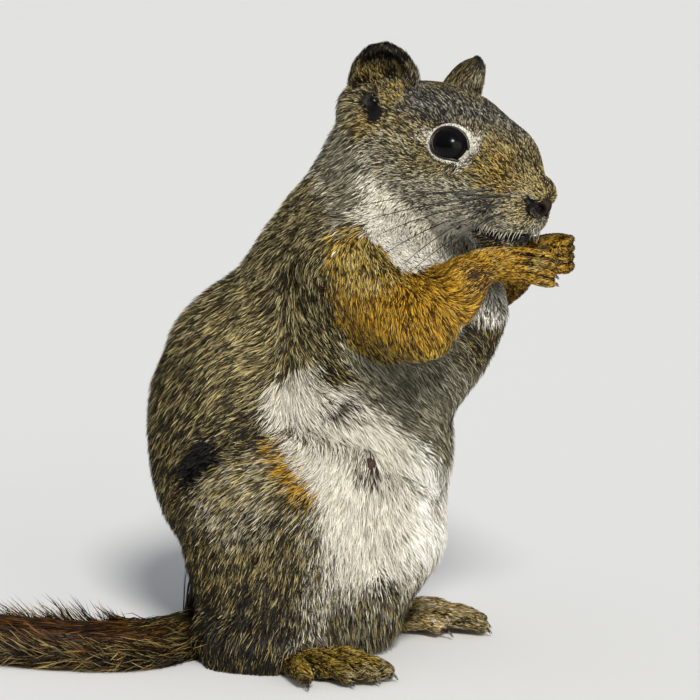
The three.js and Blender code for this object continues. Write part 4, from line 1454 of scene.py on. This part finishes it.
def make_eye(side_name):
    side = SIDES[side_name]
    mesh = bpy.data.meshes.new(f"eyeball_{side_name}")
    ball_mesh = bmesh.new()
    bmesh.ops.create_icosphere(ball_mesh, subdivisions=5, radius=1)
    ball_mesh.to_mesh(mesh)
    ball_mesh.free()
    look, front, top = eye_axes(side)
    way = unit(read(mesh.vertices, "co", 3))
    away = np.arccos(np.clip(way @ look, -1, 1))
    round_look = np.arctan2(way @ top, way @ front)
    bulge = 1 + 0.02 * hill(away, 0.6)
    points = from_head(EYE_CENTRE * [1, side, 1] + way * (EYE_RADIUS * bulge)[:, None])
    write(mesh.vertices, "co", points * MM)
    streak = 1 + 0.35 * np.sin(round_look * 41 + 3 * np.sin(round_look * 13)) * fade(PUPIL, IRIS_EDGE, away)
    iris = linear("0a0809")[None] * streak[:, None]
    dark = fade(PUPIL + 0.05, PUPIL - 0.05, away) + fade(IRIS_EDGE - 0.1, IRIS_EDGE + 0.05, away)
    tint_of_eye = iris * (1 - 0.85 * np.clip(dark, 0, 1)[:, None]) + 0.0006
    in_lids = (opening_at(round_look) - away) * EYE_RADIUS
    # painted reflection at the back of the lids' opening
    at_back = hill(np.abs(round_look) - math.pi + 0.1, 0.6)
    rim = at_back * hill(in_lids - 0.75, 0.16)
    paint_points(mesh, "iris", tint_of_eye + rim[:, None] * linear(EYE_GLINT))
    wet = {"Roughness": 0.3, "Specular_IOR_Level": 0.03, "Coat_Weight": 0.2, "Coat_Roughness": 0.1}
    material = tinted_material("eye", "iris", (1500, 0.75, 1.25), **wet)
    finish_piece(new_object(mesh.name, mesh), material, [f"{side_name}_eye"])


def make_lids(side_name):
    """The bare dark rim of the lids, a ring that hugs the eyeball."""
    side = SIDES[side_name]
    look, front, top = eye_axes(side)
    angle = circle(LID_STEPS)
    edge = opening_at(angle)[:, None]
    spoke = front * np.cos(angle)[:, None] + top * np.sin(angle)[:, None]
    out = unit(look * np.cos(edge) + spoke * np.sin(edge))
    corner = np.exp(-(((angle - CORNER_ANGLE + math.pi) % (2 * math.pi) - math.pi) ** 2) / 0.3)[:, None]
    centre = EYE_CENTRE * [1, side, 1] + out * (EYE_RADIUS + 0.12 + 0.35 * corner)
    away = unit(spoke * np.cos(edge) - look * np.sin(edge))
    turn = circle(LID_SIDES)
    ring = out[:, None] * np.cos(turn)[:, None] * 0.8 + away[:, None] * np.sin(turn)[:, None] * 1.15
    points = from_head((centre[:, None] + ring * LID_RADIUS * (1 + 0.4 * corner[:, None])).reshape(-1, 3))
    faces = grid_faces(LID_STEPS, LID_SIDES)
    faces = faces if side > 0 else [face[::-1] for face in faces]
    damp = {"Roughness": 0.32, "Coat_Weight": 0.35, "Coat_Roughness": 0.2}
    material = tinted_material("lid", "#1a110d", (1800, 0.6, 1.5), (0.5, 0.00015), **damp)
    finish_piece(mesh_object(f"eyelids_{side_name}", points, faces), material)


# ---- the nose pad
NOSTRIL_DEPTH = 1.9
PAD_RINGS = 90
PAD_SPOKES = 90


def nose_material():
    material = tinted_material("nose", "pad", (1300, 0.7, 1.3), Roughness=0.6, Specular_IOR_Level=0.15)
    tree = material.node_tree
    place = add_node(tree, "ShaderNodeTexCoord")
    pebble = add_node(tree, "ShaderNodeTexVoronoi", Scale=3200)
    tree.links.new(place.outputs["Object"], pebble.inputs["Vector"])
    add_bump(tree, tree.nodes["Principled BSDF"], pebble.outputs["Distance"], 0.7, 0.0001)
    return material


def make_nose():
    """The bare pad at the muzzle's end, with a comma-shaped nostril on each side and a groove below."""
    rise = np.linspace(0, math.pi, PAD_RINGS)
    turn = circle(PAD_SPOKES)
    across, up = np.sin(rise)[:, None] * np.cos(turn), np.sin(rise)[:, None] * np.sin(turn)
    way = np.stack([np.cos(rise)[:, None] * np.ones(PAD_SPOKES), across, up], axis=2).reshape(-1, 3)
    h = NOSE_PAD["at"] + way * NOSE_PAD["half"]
    normal = unit(way / NOSE_PAD["half"])
    hole = nostril_hole(h)
    groove = hill(h[:, 1], 0.3) * fade(-11, -12.5, h[:, 2])
    h = h - normal * (NOSTRIL_DEPTH * hole + 0.4 * groove)[:, None]
    obj = mesh_object("nose_pad", from_head(h), open_grid(PAD_RINGS, PAD_SPOKES))
    # Painted shade inside the nostrils and in the groove below them.
    tone = (1 - 0.99 * fade(0.2, 0.5, hole)) * (1 - 0.5 * groove)
    paint_points(obj.data, "pad", linear("2c2018")[None] * tone[:, None])
    finish_piece(obj, nose_material(), ["nose"])


# ---- whiskers and the bristles of the lip
# Each whisker's root and tip on the left side, in the head's frame, and how far it bows outward.
WHISKERS = [
    ((13.5, 6.5, -8.5), (-13, 25, -17), 5),
    ((15.5, 6.0, -9.8), (-12, 27, -21.5), 6),
    ((14.0, 6.7, -11.0), (-7, 25.5, -24), 5.5),
    ((16.6, 5.6, -11.6), (-4, 26, -28.5), 6),
    ((14.6, 6.4, -12.8), (0, 23.5, -31), 5),
    ((17.4, 5.2, -13.2), (4, 23, -31), 5),
    ((15.0, 5.9, -14.6), (6.5, 18, -29), 3.5),
    ((12.3, 6.8, -9.6), (-7, 23, -13), 4),
    ((17.6, 5.0, -10.2), (1, 26, -18), 6),
]
WHISKER_RADIUS = 0.21
WHISKER_BOW = {"right": (0.3, 1, 0.15), "left": (-0.6, 0.8, 0.2)}
BRISTLES = 34  # on each side
BRISTLE_RADIUS = 0.1


def taper(route, radius, sides):
    """The points of a tube that tapers to its tip along a route, ring by ring."""
    way = unit(np.gradient(route, axis=0))
    flat = unit(np.cross(way, (0, 0, 1)))
    up = np.cross(way, flat)
    thick = radius * (1 - 0.85 * np.linspace(0, 1, len(route)) ** 1.5)[:, None, None]
    turn = circle(sides)
    ring = flat[:, None] * np.cos(turn)[:, None] + up[:, None] * np.sin(turn)[:, None]
    return (route[:, None] + ring * thick).reshape(-1, 3)


def make_tubes(name, routes, radius, sides, material):
    """Tapering tubes along the routes, closed at both ends, in one piece."""
    points, faces = [], []
    for route in routes:
        start = sum(len(p) for p in points)
        points.append(taper(route, radius, sides))
        rows = len(route)
        faces += [tuple(start + k for k in face) for face in open_grid(rows, sides)]
        faces.append(tuple(start + (rows - 1) * sides + k for k in range(sides)))
        faces.append(tuple(start + k for k in reversed(range(sides))))
    finish_piece(mesh_object(name, np.concatenate(points), faces), material)


def on_skin(point):
    """The skin's point nearest to a place in the head's frame."""
    return skin.co[skin_tree.find(Vector(from_head(point)))[1]].astype(float)


def bow_route(root, end, out, count=18):
    """A curved route from root to end that first swings outwards."""
    t = np.linspace(0, 1, count)[:, None]
    control = (root + end) / 2 + out
    return root * (1 - t) ** 2 + 2 * control * t * (1 - t) + end * t**2


def bristle_material(name, colour):
    return tinted_material(name, colour, (300, 0.7, 1.3), Roughness=0.35)


def make_whiskers(side_name):
    side = SIDES[side_name]
    flip = np.array([1, side, 1])
    routes = []
    for root, end, bow in WHISKERS:
        start = on_skin(np.array(root) * flip)
        stop = from_head(np.array(end) * flip)
        out = head_way(WHISKER_BOW[side_name], side) * bow * 1.4
        routes.append(bow_route(start, stop, out))
    black = bristle_material("whisker", "#0e0a07")
    make_tubes(f"whiskers_{side_name}", routes, WHISKER_RADIUS, 5, black)


def make_lip_bristles(side_name):
    side = SIDES[side_name]
    routes = []
    for k in range(BRISTLES):
        ahead = np.interp(k / (BRISTLES - 1), [0, 1], [7.5, 20.5]) + rng.uniform(-0.3, 0.3)
        start = on_skin((ahead, side * (5.5 - 0.22 * max(ahead - 11, 0)), -17.4 + rng.uniform(-0.8, 0.5)))
        way = head_way((rng.uniform(-0.5, 0.15), rng.uniform(0.1, 0.7), -1), side)
        end = start + way * rng.uniform(1.6, 3.0)
        routes.append(bow_route(start, end, head_way((0, 0.4, 0), side) * 0.4, 6))
    pale = bristle_material("bristle", "#d8d0ba")
    make_tubes(f"lip_bristles_{side_name}", routes, BRISTLE_RADIUS, 4, pale)


# ---- claws
def claw_material():
    material, tree, shader = new_material("horn", Roughness=0.5)
    noise, tone = noise_tone(tree, 700.0, 0.0, 1.0)
    ramp = add_ramp(tree, linear("120b07"), linear("3a2a1e"))
    tree.links.new(tone.outputs["Result"], ramp.inputs["Fac"])
    tree.links.new(ramp.outputs["Color"], shader.inputs["Base Color"])
    add_bump(tree, shader, noise.outputs["Fac"], 0.4, 0.0001)
    return material


def dress_claws():
    horn = claw_material()
    for name in sorted(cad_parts):
        if "claw" not in name:
            continue
        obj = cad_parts[name]
        obj.data.materials.clear()
        obj.data.materials.append(horn)
        rounder = obj.modifiers.new("round", "SUBSURF")
        rounder.levels = rounder.render_levels = 2


for side_name in SIDES:
    make_eye(side_name)
    make_lids(side_name)
    make_whiskers(side_name)
    make_lip_bristles(side_name)
make_nose()
dress_claws()

# ---- camera, floor and light
CAMERA_AZIMUTH = math.radians(25)
CAMERA_HEIGHT = math.radians(10.5)
CAMERA_DISTANCE = 1.22
CAMERA_FIELD = 0.175  # across the picture, at the animal
CAMERA_TARGET = Vector((0.0234, 0, 0.077))
SENSOR = 36  # millimetres
FLOOR_HALF = 4.0
FLOOR_COLOUR = (0.86, 0.86, 0.85, 1)
LIGHT_COLOUR = (1.0, 0.975, 0.93)
KEY = {"from": (0.44, -0.64, 0.63), "power": 2.75, "angle": math.radians(13)}
FILL = {"from": (0.82, -0.55, 0.16), "power": 1.0, "angle": math.radians(50)}
SKY_LOW = (0.13, 0.13, 0.125)
SKY_HIGH = (0.38, 0.40, 0.43)


def turn_to(obj, way):
    """Points a camera or a light along a way."""
    obj.rotation_mode = "QUATERNION"
    obj.rotation_quaternion = way.to_track_quat("-Z", "Y")


def set_camera():
    data = bpy.data.cameras.new("camera")
    camera = new_object("camera", data)
    a, e = CAMERA_AZIMUTH, CAMERA_HEIGHT
    back = Vector((math.sin(a) * math.cos(e), -math.cos(a) * math.cos(e), math.sin(e)))
    camera.location = CAMERA_TARGET + back * CAMERA_DISTANCE
    turn_to(camera, -back)
    data.sensor_width = SENSOR
    data.lens = SENSOR * CAMERA_DISTANCE / CAMERA_FIELD
    data.clip_start, data.clip_end = 0.05, 20
    bpy.context.scene.camera = camera


def set_floor():
    half = FLOOR_HALF
    mesh = bpy.data.meshes.new("floor")
    corners = [(-half, -half, 0), (half, -half, 0), (half, half, 0), (-half, half, 0)]
    mesh.from_pydata(corners, [], [(0, 1, 2, 3)])
    mesh.materials.append(new_material("floor", Base_Color=FLOOR_COLOUR, Roughness=0.9)[0])
    new_object("floor", mesh)


def set_sky():
    world = bpy.data.worlds.new("studio")
    world.use_nodes = True
    tree = world.node_tree
    place = add_node(tree, "ShaderNodeTexCoord")
    split = add_node(tree, "ShaderNodeSeparateXYZ")
    ramp = add_ramp(tree, SKY_LOW, SKY_HIGH)
    tree.links.new(place.outputs["Generated"], split.inputs[0])
    tree.links.new(split.outputs["Z"], ramp.inputs["Fac"])
    tree.links.new(ramp.outputs["Color"], tree.nodes["Background"].inputs["Color"])
    bpy.context.scene.world = world


def set_lights():
    for name, light in (("key", KEY), ("fill", FILL)):
        data = bpy.data.lights.new(name, "SUN")
        data.energy, data.angle, data.color = light["power"], light["angle"], LIGHT_COLOUR
        turn_to(new_object(name, data), -Vector(light["from"]))


set_camera()
set_floor()
set_sky()
set_lights()
bpy.context.scene.view_settings.view_transform = "Standard"
